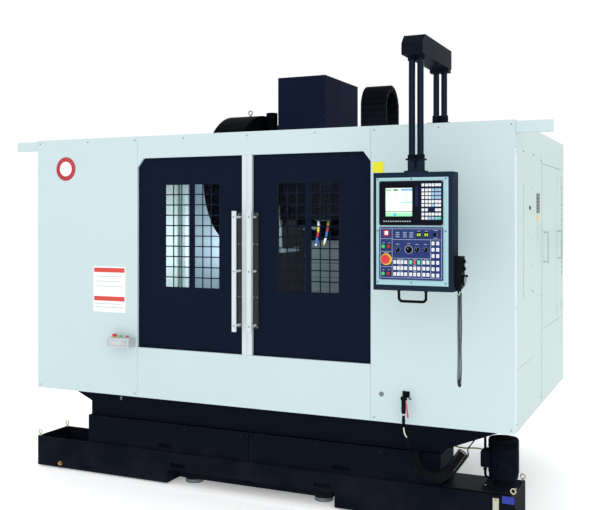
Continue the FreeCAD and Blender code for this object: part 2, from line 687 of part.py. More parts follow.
def make_door_track():
    """Slotted box rail that the doors hang from; it runs out past both sides."""
    y = (TRACK_FRONT, TRACK_FRONT + TRACK_DEPTH)
    z = (TRACK_BOTTOM, TRACK_TOP)
    ends = TRACK_HALF_LENGTH
    bar = box((-ends, ends), y, z)
    hollow = box((-ends + SHEET, ends - SHEET), (y[0] + TRACK_WALL, y[1] - TRACK_WALL),
                 (z[0] + TRACK_WALL, z[1] - TRACK_WALL))
    middle = TRACK_FRONT + TRACK_DEPTH / 2
    slot = box((-ends + SHEET, ends - SHEET), (middle - TRACK_SLOT / 2, middle + TRACK_SLOT / 2),
               (z[0] - 1, z[0] + TRACK_WALL + 1))
    return bar.cut([hollow, slot])


def make_door():
    """Right-hand door: folded skin with two punched window groups, and its track hangers."""
    inner = STILE_GAP + STILE_WIDTH
    outer = OPENING_HALF_WIDTH + DOOR_OVERLAP
    bottom = OPENING_BOTTOM - DOOR_OVERLAP
    top = OPENING_TOP + DOOR_OVERLAP
    y = (DOOR_SETBACK, DOOR_SETBACK + SIDE_RETURN)
    skin = pan((inner, outer), y, (bottom, top), "+y")
    holes = []
    group_width = WINDOW_COLUMNS * WINDOW_PITCH_X
    for block in range(2):
        start = WINDOW_INNER + block * (group_width + WINDOW_GROUP_GAP)
        for column in range(WINDOW_COLUMNS):
            for row in range(WINDOW_ROWS):
                x = start + column * WINDOW_PITCH_X
                z = WINDOW_BOTTOM + row * WINDOW_PITCH_Z
                holes.append(box((x, x + WINDOW_PITCH_X - WINDOW_BAR), (y[0] - 1, y[0] + SHEET + 1),
                                 (z, z + WINDOW_PITCH_Z - WINDOW_BAR)))
    skin = skin.cut(holes)
    middle = TRACK_FRONT + TRACK_DEPTH / 2
    roller_z = TRACK_BOTTOM + TRACK_WALL + WAY_CLEARANCE + ROLLER_RADIUS
    hangers = []
    for x in (inner + 150, outer - 150):
        hangers.append(box((x - 40, x + 40), (middle - HANGER_THICK / 2, middle + HANGER_THICK / 2),
                           (top - 1, roller_z)))
        for shift in (-20, 20):
            hangers.append(rod((x + shift, middle - 11, roller_z), (x + shift, middle + 11, roller_z),
                               ROLLER_RADIUS))
    return fuse([skin] + hangers)


def make_door_glass():
    y = DOOR_SETBACK + SHEET
    right = WINDOW_INNER + 2 * WINDOW_COLUMNS * WINDOW_PITCH_X + WINDOW_GROUP_GAP
    top = WINDOW_BOTTOM + WINDOW_ROWS * WINDOW_PITCH_Z
    return box((WINDOW_INNER - 15, right + 15), (y, y + GLASS), (WINDOW_BOTTOM - 15, top + 15))


def make_door_handle():
    """Stile, dark backing strip with standoffs, and the flat grip bar."""
    stile = box((STILE_GAP, STILE_GAP + STILE_WIDTH), (0, DOOR_SETBACK + SIDE_RETURN),
                (OPENING_BOTTOM + 1, OPENING_TOP - 1))
    strip_left = STILE_GAP + STILE_WIDTH + 1
    strip = box((strip_left, strip_left + BACKING_WIDTH), (DOOR_SETBACK - BACKING_THICK, DOOR_SETBACK),
                (HANDLE_BOTTOM + 17, HANDLE_TOP - 10))
    bar_back = -HANDLE_REACH + HANDLE_THICK / 2
    pillars = []
    for z in (HANDLE_BOTTOM + 45, (HANDLE_BOTTOM + HANDLE_TOP) / 2, HANDLE_TOP - 45):
        pillars.append(rod((HANDLE_X, bar_back, z), (HANDLE_X, DOOR_SETBACK - BACKING_THICK + 1, z), 9))
    bar = box((HANDLE_X - HANDLE_WIDTH / 2, HANDLE_X + HANDLE_WIDTH / 2), (bar_back - HANDLE_THICK, bar_back),
              (HANDLE_BOTTOM, HANDLE_TOP))
    return group([stile, fuse([strip] + pillars), bar])


def make_cabinet_box():
    """Box behind the cabinet doors, a shelf wall between its two bays, and the drive units."""
    outer = HALF_WIDTH - SIDE_RETURN - SHEET
    depth = (outer - CABINET_DEPTH, outer)
    y = (CABINET_FRONT - 12, CABINET_REAR + 12)
    z = (CABINET_BOTTOM - 12, CABINET_TOP + 12)
    shell = pan(depth, y, z, "+x")
    wall = box((depth[0] + 1, outer), (CABINET_SPLIT - 1.5, CABINET_SPLIT + 1.5), (z[0] + 1, z[1] - 1))
    solids = [fuse([shell, wall])]
    width = 110
    for row in range(3):
        for column in range(5):
            left = CABINET_FRONT + 45 + column * (width + 25)
            low = CABINET_BOTTOM + 90 + row * 400
            solids.append(box((depth[0] + SHEET, depth[0] + SHEET + 150), (left, left + width),
                              (low, low + 260)))
    return group(solids)


def make_cabinet_door(y_front, y_rear):
    """Folded door leaf with a pull handle near its front edge; it is hinged at its rear edge."""
    x = (HALF_WIDTH - CABINET_DOOR_RETURN, HALF_WIDTH)
    leaf = pan(x, (y_front + DOOR_GAP, y_rear - DOOR_GAP), (CABINET_BOTTOM + DOOR_GAP,
                                                            CABINET_TOP - DOOR_GAP), "-x")
    y = y_front + DOOR_GAP + PULL_INSET
    grip_x = HALF_WIDTH + PULL_REACH
    parts = [leaf, rod((grip_x, y, PULL_BOTTOM), (grip_x, y, PULL_TOP), PULL_RADIUS)]
    for z in (PULL_BOTTOM + 10, PULL_TOP - 10):
        parts.append(rod((HALF_WIDTH - 1, y, z), (grip_x, y, z), PULL_RADIUS))
    return fuse(parts)


# ---------------------------------------------------------------- tank and chip path
def make_coolant_tank():
    """Low tank along the front: two deep ends, a raised middle, a deck and an apron with slots."""
    width = (-HALF_WIDTH, HALF_WIDTH)
    belly = (-BELLY_HALF_WIDTH, BELLY_HALF_WIDTH)
    t = TANK_SHEET
    outside = box(width, (0, TANK_DEPTH), (TANK_BOTTOM, TANK_TOP))
    below = box(belly, (-1, TANK_DEPTH + 1), (TANK_BOTTOM - 1, BELLY_BOTTOM))
    ends = box((-HALF_WIDTH + t, HALF_WIDTH - t), (t, TANK_DEPTH - t), (TANK_BOTTOM + t, TANK_TOP - t))
    over = box((belly[0] - t, belly[1] + t), (0, TANK_DEPTH), (TANK_BOTTOM, BELLY_BOTTOM + t))
    wall_front = t + APRON_GAP
    front = box((belly[0] - t, belly[1] + t), (0, wall_front + t), (TANK_BOTTOM, TANK_TOP))
    cavity = ends.cut([over, front])
    gap = box(belly, (t, wall_front), (BELLY_BOTTOM - 1, TANK_TOP - t))
    mouths = []
    for x in ((-HALF_WIDTH + t, -TRAY_HALF_WIDTH - t), (TRAY_HALF_WIDTH + t, HALF_WIDTH - t)):
        mouths.append(box(x, (t, TANK_DEPTH - t), (TANK_TOP - t - 1, TANK_TOP + 1)))
    slots = []
    for side in (-1, 1):
        x = sorted((side * TANK_SLOT_INNER, side * TANK_SLOT_OUTER))
        slots.append(box(x, (-1, t + 1), (TANK_SLOT_BOTTOM, TANK_SLOT_TOP)))
    return outside.cut([below, cavity, gap] + mouths + slots)


def make_tank_fittings():
    """Lid over the right end, sight gauge, and a lifting eye at each corner."""
    t = TANK_SHEET
    lid = box((TRAY_HALF_WIDTH + 15, HALF_WIDTH - 2), (TRAY_FRONT, TANK_DEPTH - 2), (TANK_TOP, TANK_TOP + t))
    lid = lid.cut(rod((PUMP_X, PUMP_Y, TANK_TOP - 1), (PUMP_X, PUMP_Y, TANK_TOP + t + 1),
                      PUMP_STEM_RADIUS + 1))
    gauge = box((HALF_WIDTH - 145, HALF_WIDTH - 105), (-12, 0), (60, TANK_TOP - 21))
    solids = [lid, gauge]
    spots = [(-HALF_WIDTH + 14, 14), (-HALF_WIDTH + 14, TANK_DEPTH - 14), (HALF_WIDTH - 14, 11),
             (HALF_WIDTH - 14, TANK_DEPTH - 14)]
    for x, y in spots:
        on_lid = x > 0 and y > TRAY_FRONT
        base = TANK_TOP + (t if on_lid else 0)
        lug = box((x - 14, x + 14), (y - 11, y + 11), (base, base + t))
        stem = rod((x, y, base + t), (x, y, base + t + 10), 6)
        centre = Vector(x, back(y), base + t + 8 + EYE_RADIUS + EYE_WIRE)
        ring = Part.makeTorus(EYE_RADIUS, EYE_WIRE, centre, Vector(0, 1, 0))
        solids.append(fuse([lug, stem, ring]))
    return group(solids)


def make_coolant_pump():
    """Vertical immersion pump: stem in the tank, flange, motor and terminal box."""
    base = TANK_TOP + TANK_SHEET
    stem = rod((PUMP_X, PUMP_Y, 45), (PUMP_X, PUMP_Y, base + 2), PUMP_STEM_RADIUS)
    flange = box((PUMP_X - 120, PUMP_X + 120), (PUMP_Y - 120, PUMP_Y + 120), (base, base + 10))
    neck = rod((PUMP_X, PUMP_Y, base + 9), (PUMP_X, PUMP_Y, base + 60), PUMP_RADIUS * 0.7)
    motor = rod((PUMP_X, PUMP_Y, base + 55), (PUMP_X, PUMP_Y, PUMP_TOP), PUMP_RADIUS)
    terminals = box((PUMP_X - PUMP_RADIUS - 45, PUMP_X - PUMP_RADIUS + 30), (PUMP_Y - 60, PUMP_Y + 60),
                    (base + 120, base + 230))
    return fuse([stem, flange, neck, motor, terminals])


def make_chip_trays():
    """Two open trays on the tank's deck, each with a hand slot in its front."""
    x = (3, TRAY_HALF_WIDTH)
    tray = pan(x, (TRAY_FRONT, TANK_DEPTH - 2), (TANK_TOP, TRAY_TOP), "+z")
    slot = box((TRAY_SLOT_INNER, TRAY_SLOT_OUTER), (TRAY_FRONT - 1, TRAY_FRONT + SHEET + 1),
               (TRAY_SLOT_BOTTOM, TRAY_SLOT_TOP))
    tray = tray.cut(slot)
    return group([tray, mirrored(tray)])


def make_chute():
    """Open hopper under the enclosure: upright walls, then flared sides; and two sloping chip pans."""
    rear = BED_FRONT
    low = TRAY_TOP + 1
    top = ENCLOSURE_BOTTOM - 2

    def hopper(inset, lift):
        outline = [(-CHUTE_HALF_WIDTH + inset, low - lift), (CHUTE_HALF_WIDTH - inset, low - lift),
                   (CHUTE_HALF_WIDTH - inset, CHUTE_RIGHT_KNEE), (CHUTE_RIGHT_TOP - inset, top + lift),
                   (-CHUTE_LEFT_TOP + inset, top + lift), (-CHUTE_HALF_WIDTH + inset, CHUTE_KNEE)]
        return prism_y(outline, (CHUTE_FRONT + inset, rear - inset))

    solids = [hopper(0, 0).cut(hopper(SHEET, 1))]
    floor = BED_TOP + WAY_HEIGHT
    outline = [(BED_FRONT + 75, floor), (2180, floor + 60), (2180, floor + 60 + SHEET),
               (BED_FRONT + 75, floor + SHEET)]
    inboard = SADDLE_HALF_LENGTH + 30
    outboard = HALF_WIDTH - SIDE_RETURN - FRAME_INSET - FRAME_TUBE - 2
    shelf = prism_x(outline, (inboard, outboard))
    return group(solids + [shelf, mirrored(shelf)])


# ---------------------------------------------------------------- push-button box
def button_box_centres():
    middle = (BUTTON_BOX_LEFT + BUTTON_BOX_RIGHT) / 2
    pitch = 62
    return [middle - pitch, middle, middle + pitch]


def make_button_box():
    case = pan((BUTTON_BOX_LEFT, BUTTON_BOX_RIGHT), (-BUTTON_BOX_REACH, 0),
               (BUTTON_BOX_BOTTOM, BUTTON_BOX_TOP), "+y")
    y = -BUTTON_BOX_REACH / 2
    solids = [case]
    for x in button_box_centres():
        solids.append(rod((x, y, BUTTON_BOX_TOP - 1), (x, y, BUTTON_BOX_TOP + 6), 19))
    holes = [rod((x, y, BUTTON_BOX_TOP - 10), (x, y, BUTTON_BOX_TOP + 10), BUTTON_STEM + BUTTON_GAP)
             for x in button_box_centres()]
    return fuse(solids).cut(holes)


def make_box_button(index, radius, lift, height):
    """Button over its collar on the box: stem through the collar, and a cap."""
    x = button_box_centres()[index]
    y = -BUTTON_BOX_REACH / 2
    low = BUTTON_BOX_TOP + 6 + lift
    stem = rod((x, y, BUTTON_BOX_TOP - 18), (x, y, low + 1), BUTTON_STEM)
    cap = rod((x, y, low), (x, y, low + height), radius)
    return fuse([stem, cap])


# ---------------------------------------------------------------- operator pendant
def make_pendant_posts():
    """Two upright tubes on the roof with their clamps, a head plate and the swivel pin."""
    y = POST_REAR
    roof = ENCLOSURE_TOP - 2
    parts = []
    for side in (-1, 1):
        x = POST_X + side * POST_PITCH / 2
        parts.append(rod((x, y, roof), (x, y, BEAM_BOTTOM - SWIVEL_GAP - 20), POST_RADIUS))
        parts.append(rod((x, y, roof), (x, y, roof + CLAMP_HEIGHT), CLAMP_RADIUS))
    half = BEAM_WIDTH / 2
    parts.append(box((POST_X - half - 10, POST_X + half + 10), (y - 55, y + 55), (roof, roof + 8)))
    parts.append(box((POST_X - half + 4, POST_X + half - 4), (y - 33, y + 33),
                     (BEAM_BOTTOM - SWIVEL_GAP - 22, BEAM_BOTTOM - SWIVEL_GAP)))
    parts.append(rod((POST_X, y, BEAM_BOTTOM - SWIVEL_GAP - 5), (POST_X, y, BEAM_BOTTOM + 80), SWIVEL_RADIUS))
    return fuse(parts)


def make_pendant_arm():
    """Hollow beam that turns on the rear posts' pin, and the two tubes hanging from its front."""
    half = BEAM_WIDTH / 2
    x = (POST_X - half, POST_X + half)
    outline = [(-BEAM_FRONT, BEAM_BOTTOM), (BEAM_REAR, BEAM_BOTTOM), (BEAM_REAR, BEAM_TOP),
               (-BEAM_FRONT + BEAM_BEVEL, BEAM_TOP), (-BEAM_FRONT, BEAM_TOP - BEAM_BEVEL)]
    beam = prism_x(outline, x)
    w = BEAM_WALL
    hollow = box((x[0] + w, x[1] - w), (-BEAM_FRONT + BEAM_BEVEL + w, BEAM_REAR - w),
                 (BEAM_BOTTOM + w, BEAM_TOP - w))
    boss = rod((POST_X, POST_REAR, BEAM_BOTTOM), (POST_X, POST_REAR, BEAM_TOP - 1), SWIVEL_RADIUS + 14)
    bore = rod((POST_X, POST_REAR, BEAM_BOTTOM - 1), (POST_X, POST_REAR, BEAM_BOTTOM + 81),
               SWIVEL_RADIUS + RUNNING_GAP)
    neck = PENDANT_TOP + NECK_HEIGHT
    y = -POST_FRONT
    parts = [fuse([beam.cut(hollow), boss]).cut(bore)]
    for side in (-1, 1):
        tube_x = POST_X + side * POST_PITCH / 2
        parts.append(rod((tube_x, y, neck + 12), (tube_x, y, BEAM_BOTTOM + 2), POST_RADIUS))
        parts.append(rod((tube_x, y, neck + 12), (tube_x, y, neck + 40), CLAMP_RADIUS))
        parts.append(rod((tube_x, y, BEAM_BOTTOM - 26), (tube_x, y, BEAM_BOTTOM + 1), CLAMP_RADIUS))
    parts.append(box((POST_X - 58, POST_X + 58), (y - 40, y + 40), (neck + SWIVEL_GAP, neck + 14)))
    parts.append(rod((POST_X, y, neck - 50), (POST_X, y, neck + 10), SWIVEL_RADIUS))
    return fuse(parts)


def unit_span():
    return (PENDANT_LEFT + UNIT_INSET, PENDANT_RIGHT - UNIT_RIGHT_INSET)


def make_pendant_box():
    """Sheet housing with a recessed front and a twin-sleeved neck for the swivel, and its trim plate."""
    rear = -PENDANT_FACE + PENDANT_DEPTH
    x = (PENDANT_LEFT, PENDANT_RIGHT)
    z = (PENDANT_BOTTOM, PENDANT_TOP)
    case = box(x, (-PENDANT_FACE, rear), z)
    recess = box((x[0] + PENDANT_RIM, x[1] - PENDANT_RIM_RIGHT),
                 (-PENDANT_FACE - 1, -PENDANT_FACE + PENDANT_RECESS),
                 (z[0] + PENDANT_RIM_LOW, z[1] - PENDANT_RIM_TOP))
    units = unit_span()
    room = box((units[0] + 8, units[1] - 8), (-PENDANT_FACE, rear - SHEET),
               (OPERATOR_BOTTOM + 8, SCREEN_TOP - 8))
    neck_y = -POST_FRONT
    neck_low = box((POST_X - 66, POST_X + 66), (neck_y - 44, neck_y + 44), (z[1] - 1, z[1] + 12))
    web = box((POST_X - POST_PITCH / 2, POST_X + POST_PITCH / 2), (neck_y - 12, neck_y + 12),
              (z[1] + 10, z[1] + NECK_HEIGHT))
    sleeves = [rod((POST_X + side * POST_PITCH / 2, neck_y, z[1] + 10),
                   (POST_X + side * POST_PITCH / 2, neck_y, z[1] + NECK_HEIGHT), CLAMP_RADIUS) for side in (-1, 1)]
    bore = rod((POST_X, neck_y, z[1] + NECK_HEIGHT - 51), (POST_X, neck_y, z[1] + NECK_HEIGHT + 1),
               SWIVEL_RADIUS + RUNNING_GAP)
    housing = fuse([case.cut([recess, room]), neck_low, web] + sleeves).cut(bore)
    trim_y = (-PENDANT_FACE, -PENDANT_FACE + PENDANT_RECESS)
    trim = box((x[0] + PENDANT_RIM + 1, x[1] - PENDANT_RIM_RIGHT - 1), trim_y,
               (z[0] + PENDANT_RIM_LOW + 1, z[1] - PENDANT_RIM_TOP - 1))
    windows = [box(units, (trim_y[0] - 1, trim_y[1] + 1), span)
               for span in ((SCREEN_BOTTOM, SCREEN_TOP), (OPERATOR_BOTTOM, OPERATOR_TOP))]
    return group([housing, trim.cut(windows)])


def make_screen_unit():
    """Display with a sunk screen at the left and a raised key field at the right."""
    x = unit_span()
    face = -PENDANT_FACE - UNIT_PROUD
    unit = box(x, (face, -PENDANT_FACE + PENDANT_RECESS), (SCREEN_BOTTOM, SCREEN_TOP))
    screen = box((x[0] + 40, x[0] + 219), (face - 1, face + 6), (SCREEN_TOP - 224, SCREEN_TOP - 42))
    return unit.cut(screen)


def control_spots():
    """Centres of the moving controls on the operator panel, as (x, z)."""
    left = PENDANT_LEFT
    low = OPERATOR_BOTTOM
    return {"pendant_e_stop": (left + 89, low + 128),
            "power_on_button": (left + 72, low + 210),
            "power_off_button": (left + 108, low + 210),
            "cycle_start_button": (left + 70, low + 38),
            "feed_hold_button": (left + 106, low + 38),
            "mode_knob": (left + 164, low + 191),
            "feed_knob": (left + 237, low + 191),
            "rapid_knob": (left + 291, low + 191),
            "spindle_knob": (left + 346, low + 191),
            "key_switch": (left + 410, low + 286)}


def make_operator_panel():
    x = unit_span()
    face = -PENDANT_FACE - UNIT_PROUD
    panel = box(x, (face, -PENDANT_FACE + PENDANT_RECESS), (OPERATOR_BOTTOM, OPERATOR_TOP))
    holes = []
    for spot_x, spot_z in control_spots().values():
        holes.append(rod((spot_x, face - 1, spot_z), (spot_x, PENDANT_RECESS + 1 - PENDANT_FACE, spot_z),
                         BUTTON_STEM + BUTTON_GAP))
    return panel.cut(holes)


def make_control(name, radius, lift, height):
    """Cap and stem of one control: lift is the gap behind its cap, which a button travels."""
    x, z = control_spots()[name]
    face = -PENDANT_FACE - UNIT_PROUD
    stem = rod((x, face - lift - 1, z), (x, -PENDANT_FACE + PENDANT_RECESS + 6, z), BUTTON_STEM)
    cap = rod((x, face - lift - height, z), (x, face - lift, z), radius)
    return fuse([stem, cap])


def make_knob(name):
    """Knob with a raised pointer bar across its face."""
    x, z = control_spots()[name]
    face = -PENDANT_FACE - UNIT_PROUD
    bar = box((x - 3, x + 3), (face - KNOB_REACH, face - 6), (z - KNOB_RADIUS, z + KNOB_RADIUS))
    return fuse([make_control(name, KNOB_RADIUS, 0.5, 10), bar])


def make_pendant_handle():
    """Bent bar below the pendant."""
    y = -PENDANT_FACE + PENDANT_DEPTH / 2 - 20
    left = PENDANT_LEFT + 156
    right = PENDANT_LEFT + 334
    low = PENDANT_BOTTOM - GRIP_DROP + GRIP_RADIUS
    corner = 24
    start = Vector(left, back(y), PENDANT_BOTTOM)
    points = [start, Vector(left, back(y), low + corner), Vector(left + corner, back(y), low),
              Vector(right - corner, back(y), low), Vector(right, back(y), low + corner),
              Vector(right, back(y), PENDANT_BOTTOM)]
    bend = corner * (1 - math.sqrt(0.5))
    left_mid = Vector(left + bend, back(y), low + bend)
    right_mid = Vector(right - bend, back(y), low + bend)
    path = Part.Wire([Part.LineSegment(points[0], points[1]).toShape(),
                      Part.Arc(points[1], left_mid, points[2]).toShape(),
                      Part.LineSegment(points[2], points[3]).toShape(), Part.Arc(points[3], right_mid,
                                                                                 points[4]).toShape(),
                      Part.LineSegment(points[4], points[5]).toShape()])
    section = Part.Wire([Part.makeCircle(GRIP_RADIUS, start, Vector(0, 0, -1))])
    return path.makePipeShell([section], True, False)


def wheel_box_x():
    return (PENDANT_RIGHT, PENDANT_RIGHT + WHEEL_BOX_WIDTH)


def make_handwheel_box():
    """Jog unit on the pendant's right side: case, two selector knobs, cable gland and return gland."""
    x = wheel_box_x()
    y = (-PENDANT_FACE + 42, -PENDANT_FACE + PENDANT_DEPTH)
    middle = (y[0] + y[1]) / 2
    case = box(x, y, (WHEEL_BOX_BOTTOM, WHEEL_BOX_TOP))
    parts = [case]
    for z in (WHEEL_BOX_TOP - 32, WHEEL_BOX_TOP - 78):
        parts.append(rod((x[1] - 1, middle, z), (x[1] + 16, middle, z), 12))
    gland_x = x[0] + 20
    parts.append(rod((gland_x, y[0] + 18, WHEEL_BOX_BOTTOM + 1), (gland_x, y[0] + 18, WHEEL_BOX_BOTTOM - 20),
                     12))
    hole = rod((x[1] - 20, middle, WHEEL_BOX_BOTTOM + 46), (x[1] + 1, middle, WHEEL_BOX_BOTTOM + 46),
               BUTTON_STEM + RUNNING_GAP)
    bracket = box((PENDANT_RIGHT, gland_x + 14), (y[1] - 34, y[1] - 6),
                  (WHEEL_BOX_BOTTOM - 12, WHEEL_BOX_BOTTOM + 1))
    return fuse(parts + [bracket]).cut(hole)


def make_handwheel_dial():
    x = wheel_box_x()[1]
    y = -PENDANT_FACE + (42 + PENDANT_DEPTH) / 2
    z = WHEEL_BOX_BOTTOM + 46
    dial = rod((x + 0.5, y, z), (x + 15, y, z), WHEEL_RADIUS)
    stem = rod((x - 18, y, z), (x + 5, y, z), BUTTON_STEM)
    crank = rod((x + 14, y, z + WHEEL_RADIUS - 9), (x + 30, y, z + WHEEL_RADIUS - 9), 6)
    return fuse([dial, stem, crank])


def make_handwheel_cord():
    """Curly cord from the jog unit's gland, down in a narrow loop and up to the bracket behind it."""
    x = wheel_box_x()[0] + 20
    front = -PENDANT_FACE + 60
    rear = -PENDANT_FACE + PENDANT_DEPTH - 20
    route = [(x, front, WHEEL_BOX_BOTTOM - 20), (x, front, 1540), (x - 2, front + 2, 1405),
             (x + 2, front, 1275), (x, front - 3, 1165), (x - 2, front + 1, 1090), (x + 1, front + 14, 1052),
             (x, rear - 11, 1050), (x - 2, rear, 1088), (x + 1, rear + 3, 1162), (x - 2, rear - 1, 1270),
             (x + 2, rear + 2, 1400), (x, rear, 1530), (x, rear, WHEEL_BOX_BOTTOM - 12)]
    return routed_tube(route, CURLY_RADIUS, "handwheel_cord")


# ---------------------------------------------------------------- air gun
def make_air_gun():
    """Gun body with nozzle and hose fitting, the hook it hangs on, and the outlet by the sill tube."""
    x = GUN_X
    y = GUN_Y
    body = rod((x, y, GUN_TOP - 110), (x, y, GUN_TOP), 14)
    top = rod((x - 18, y, GUN_TOP - 8), (x + 25, y, GUN_TOP - 8), 12)
    nozzle = rod((x + 24, y, GUN_TOP - 8), (x + 55, y, GUN_TOP - 8), 5)
    fitting = rod((x, y, GUN_BOTTOM + 18), (x, y, GUN_TOP - 109), 10)
    nut = rod((x, y, GUN_BOTTOM), (x, y, GUN_BOTTOM + 19), 12)
    groove = box((x + 8, x + 20), (y - 4, y + 4), (GUN_TOP - 92, GUN_TOP - 30))
    gun = fuse([body, top, nozzle, fitting, nut]).cut(groove)
    hook_radius = 4.5
    hook_z = GUN_TOP + 4 + hook_radius + BUTTON_GAP
    plate = box((x - 26, x + 26), (-4, 0), (hook_z - 30, hook_z + 22))
    arm = rod((x, y + 2, hook_z), (x, -3, hook_z), hook_radius)
    hook = fuse([plate, arm])
    outlet = box((OUTLET_X - 15, OUTLET_X + 15), (FRONT_RETURN, FRONT_RETURN + 30), (OUTLET_Z, OUTLET_Z + 50))
    return group([gun, hook, outlet])


def make_air_gun_trigger():
    """Lever hinged near the gun's top, leaning away from the body."""
    x = GUN_X
    y = GUN_Y
    z = GUN_TOP - 38
    eye = rod((x + 16, y - 3.5, z), (x + 16, y + 3.5, z), 5)
    lever = prism_y([(x + 21, z + 2), (x + 15.5, z + 2), (x + 28, z - 104), (x + 37, z - 102)],
                    (y - 5, y + 5))
    return fuse([eye, lever])


def coil_route():
    """Middle line of the coiled stretch of the air hose: (x, y, z), y behind the front face."""
    y = GUN_Y
    return [(1324, y, 532), (1332, y - 2, 440), (1390, y, 362), (1477, y + 2, 332), (1560, y, 372),
            (1628, y + 2, 462), (1694, y + 4, 560)]


def beyond(end, neighbour, distance):
    """Point past the end of a run, in line with it."""
    length = math.dist(end, neighbour)
    return tuple(a + (a - b) * distance / length for a, b in zip(end, neighbour))


def make_air_hose_tails():
    """The straight stretches: from the gun to the coil, and from the coil to the outlet."""
    route = coil_route()
    x = GUN_X
    y = GUN_Y
    near = [(x, y, GUN_BOTTOM), (x, y, 652), (x + 6, y - 2, 612), (x + 30, y, 578),
            beyond(route[0], route[1], 32), route[0]]
    far = [route[-1], beyond(route[-1], route[-2], 26), (OUTLET_X, OUTLET_Y, OUTLET_Z - 34),
           (OUTLET_X, OUTLET_Y, OUTLET_Z)]
    return group([routed_tube(near, HOSE_RADIUS, "air_hose_near_tail"),
                  routed_tube(far, HOSE_RADIUS, "air_hose_far_tail")])


def make_air_hose_coil():
    """Outer shape of the coiled stretch, hanging in front of the trays."""
    return routed_tube(coil_route(), COIL_RADIUS, "air_hose_coil")


# ---------------------------------------------------------------- build
def main():
    os.makedirs("parts", exist_ok=True)
    export("bed", make_bed())
    export("leveling_pads", make_leveling_pads())
    export("column", make_column())
    export("way_shield", make_way_shield())
    export("saddle", make_saddle())
    export("table", make_table())
    export("head", make_head())
    export("head_cover", make_head_cover())
    export("spindle", make_spindle())
    export("magazine_cover", make_magazine_cover())
    export("magazine_disc", make_magazine_disc())
    export("tool_arm", make_tool_arm())
    export("cable_carrier", make_cable_carrier())
    export("frame_tubes", make_frame_tubes())
    export("front_panels", make_front_panels())
    export("header_and_sill", make_header_and_sill())
    export("side_panels", make_side_panels())
    export("rear_and_roof_panels", make_rear_and_roof_panels())
    export("door_track", make_door_track())
    pieces = {"": make_door(), "_glass": make_door_glass(), "_handle": make_door_handle()}
    for piece, shape in pieces.items():
        export("door_right" + piece, shape)
        export("door_left" + piece, mirrored(shape))
    export("cabinet_box", make_cabinet_box())
    export("cabinet_door_front", make_cabinet_door(CABINET_FRONT, CABINET_SPLIT))
    export("cabinet_door_rear", make_cabinet_door(CABINET_SPLIT, CABINET_REAR))
    export("coolant_tank", make_coolant_tank())
    export("tank_fittings", make_tank_fittings())
    export("coolant_pump", make_coolant_pump())
    export("chip_trays", make_chip_trays())
    export("chute", make_chute())
    export("button_box", make_button_box())
    export("box_e_stop", make_box_button(0, 20, 6, 14))
    export("box_green_button", make_box_button(1, 14, 4, 8))
    export("box_red_button", make_box_button(2, 14, 4, 8))
    export("pendant_posts", make_pendant_posts())
    export("pendant_arm", make_pendant_arm())
    export("pendant_box", make_pendant_box())
    export("screen_unit", make_screen_unit())
    export("operator_panel", make_operator_panel())
    export("pendant_e_stop", make_control("pendant_e_stop", ESTOP_RADIUS, 10, ESTOP_REACH - 10))
    for name in ("power_on_button", "power_off_button", "cycle_start_button", "feed_hold_button"):
        export(name, make_control(name, 12, 4, 6))
    for name in ("mode_knob", "feed_knob", "rapid_knob", "spindle_knob"):
        export(name, make_knob(name))
    export("key_switch", make_control("key_switch", 12, 0.5, 12))
    export("pendant_handle", make_pendant_handle())
    export("handwheel_box", make_handwheel_box())
    export("handwheel_dial", make_handwheel_dial())
    export("handwheel_cord", make_handwheel_cord())
    export("air_gun", make_air_gun())
    export("air_gun_trigger", make_air_gun_trigger())
    export("air_hose_tails", make_air_hose_tails())
    export("air_hose_coil", make_air_hose_coil())


main()
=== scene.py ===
"""Looks of a vertical machining center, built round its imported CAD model.

Sizes in the classes are millimetres: x from the middle, y behind the enclosure's front face, z from the floor.
"""

import logging
import math
from dataclasses import dataclass
from enum import Enum
from typing import Dict, List, Optional, Sequence, Tuple

import bpy
from mathutils import Matrix, Vector


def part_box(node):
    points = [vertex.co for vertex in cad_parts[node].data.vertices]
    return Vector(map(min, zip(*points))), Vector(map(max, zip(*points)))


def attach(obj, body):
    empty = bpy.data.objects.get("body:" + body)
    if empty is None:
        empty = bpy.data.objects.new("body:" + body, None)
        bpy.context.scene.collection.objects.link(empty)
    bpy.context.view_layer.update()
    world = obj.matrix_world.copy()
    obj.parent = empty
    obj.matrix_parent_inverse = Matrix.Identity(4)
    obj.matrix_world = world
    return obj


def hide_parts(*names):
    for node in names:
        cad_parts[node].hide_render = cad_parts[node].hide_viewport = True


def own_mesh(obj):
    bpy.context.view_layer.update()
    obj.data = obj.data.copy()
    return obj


logging.basicConfig(level=logging.INFO, format="%(message)s")
LOG = logging.getLogger("machining_center")
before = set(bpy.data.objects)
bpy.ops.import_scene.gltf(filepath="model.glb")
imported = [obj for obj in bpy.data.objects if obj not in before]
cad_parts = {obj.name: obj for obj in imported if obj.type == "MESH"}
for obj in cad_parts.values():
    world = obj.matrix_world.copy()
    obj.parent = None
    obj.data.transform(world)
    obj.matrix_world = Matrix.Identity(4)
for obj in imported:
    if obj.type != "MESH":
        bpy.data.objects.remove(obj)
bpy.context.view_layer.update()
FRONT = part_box("front_panels")[0].y
MM = 0.001
SMOOTH = 38.0  # degrees; flatter edges are shaded smooth
SHARP = 30.0  # degrees; sharper edges are rounded

Colour = Tuple[float, float, float]
Span = Tuple[float, float]
Spot = Tuple[float, float, float]
Thing = bpy.types.Object


def srgb(red: int, green: int, blue: int) -> Colour:
    """Linear colour of an 8-bit screen colour."""
    return tuple(((c / 255 + 0.055) / 1.055) ** 2.4 if c > 10 else c / 255 / 12.92 for c in (red, green, blue))


def rgba(colour: Colour) -> Tuple[float, float, float, float]:
    """The colour with full alpha, as a shader socket takes it."""
    return (colour[0], colour[1], colour[2], 1.0)


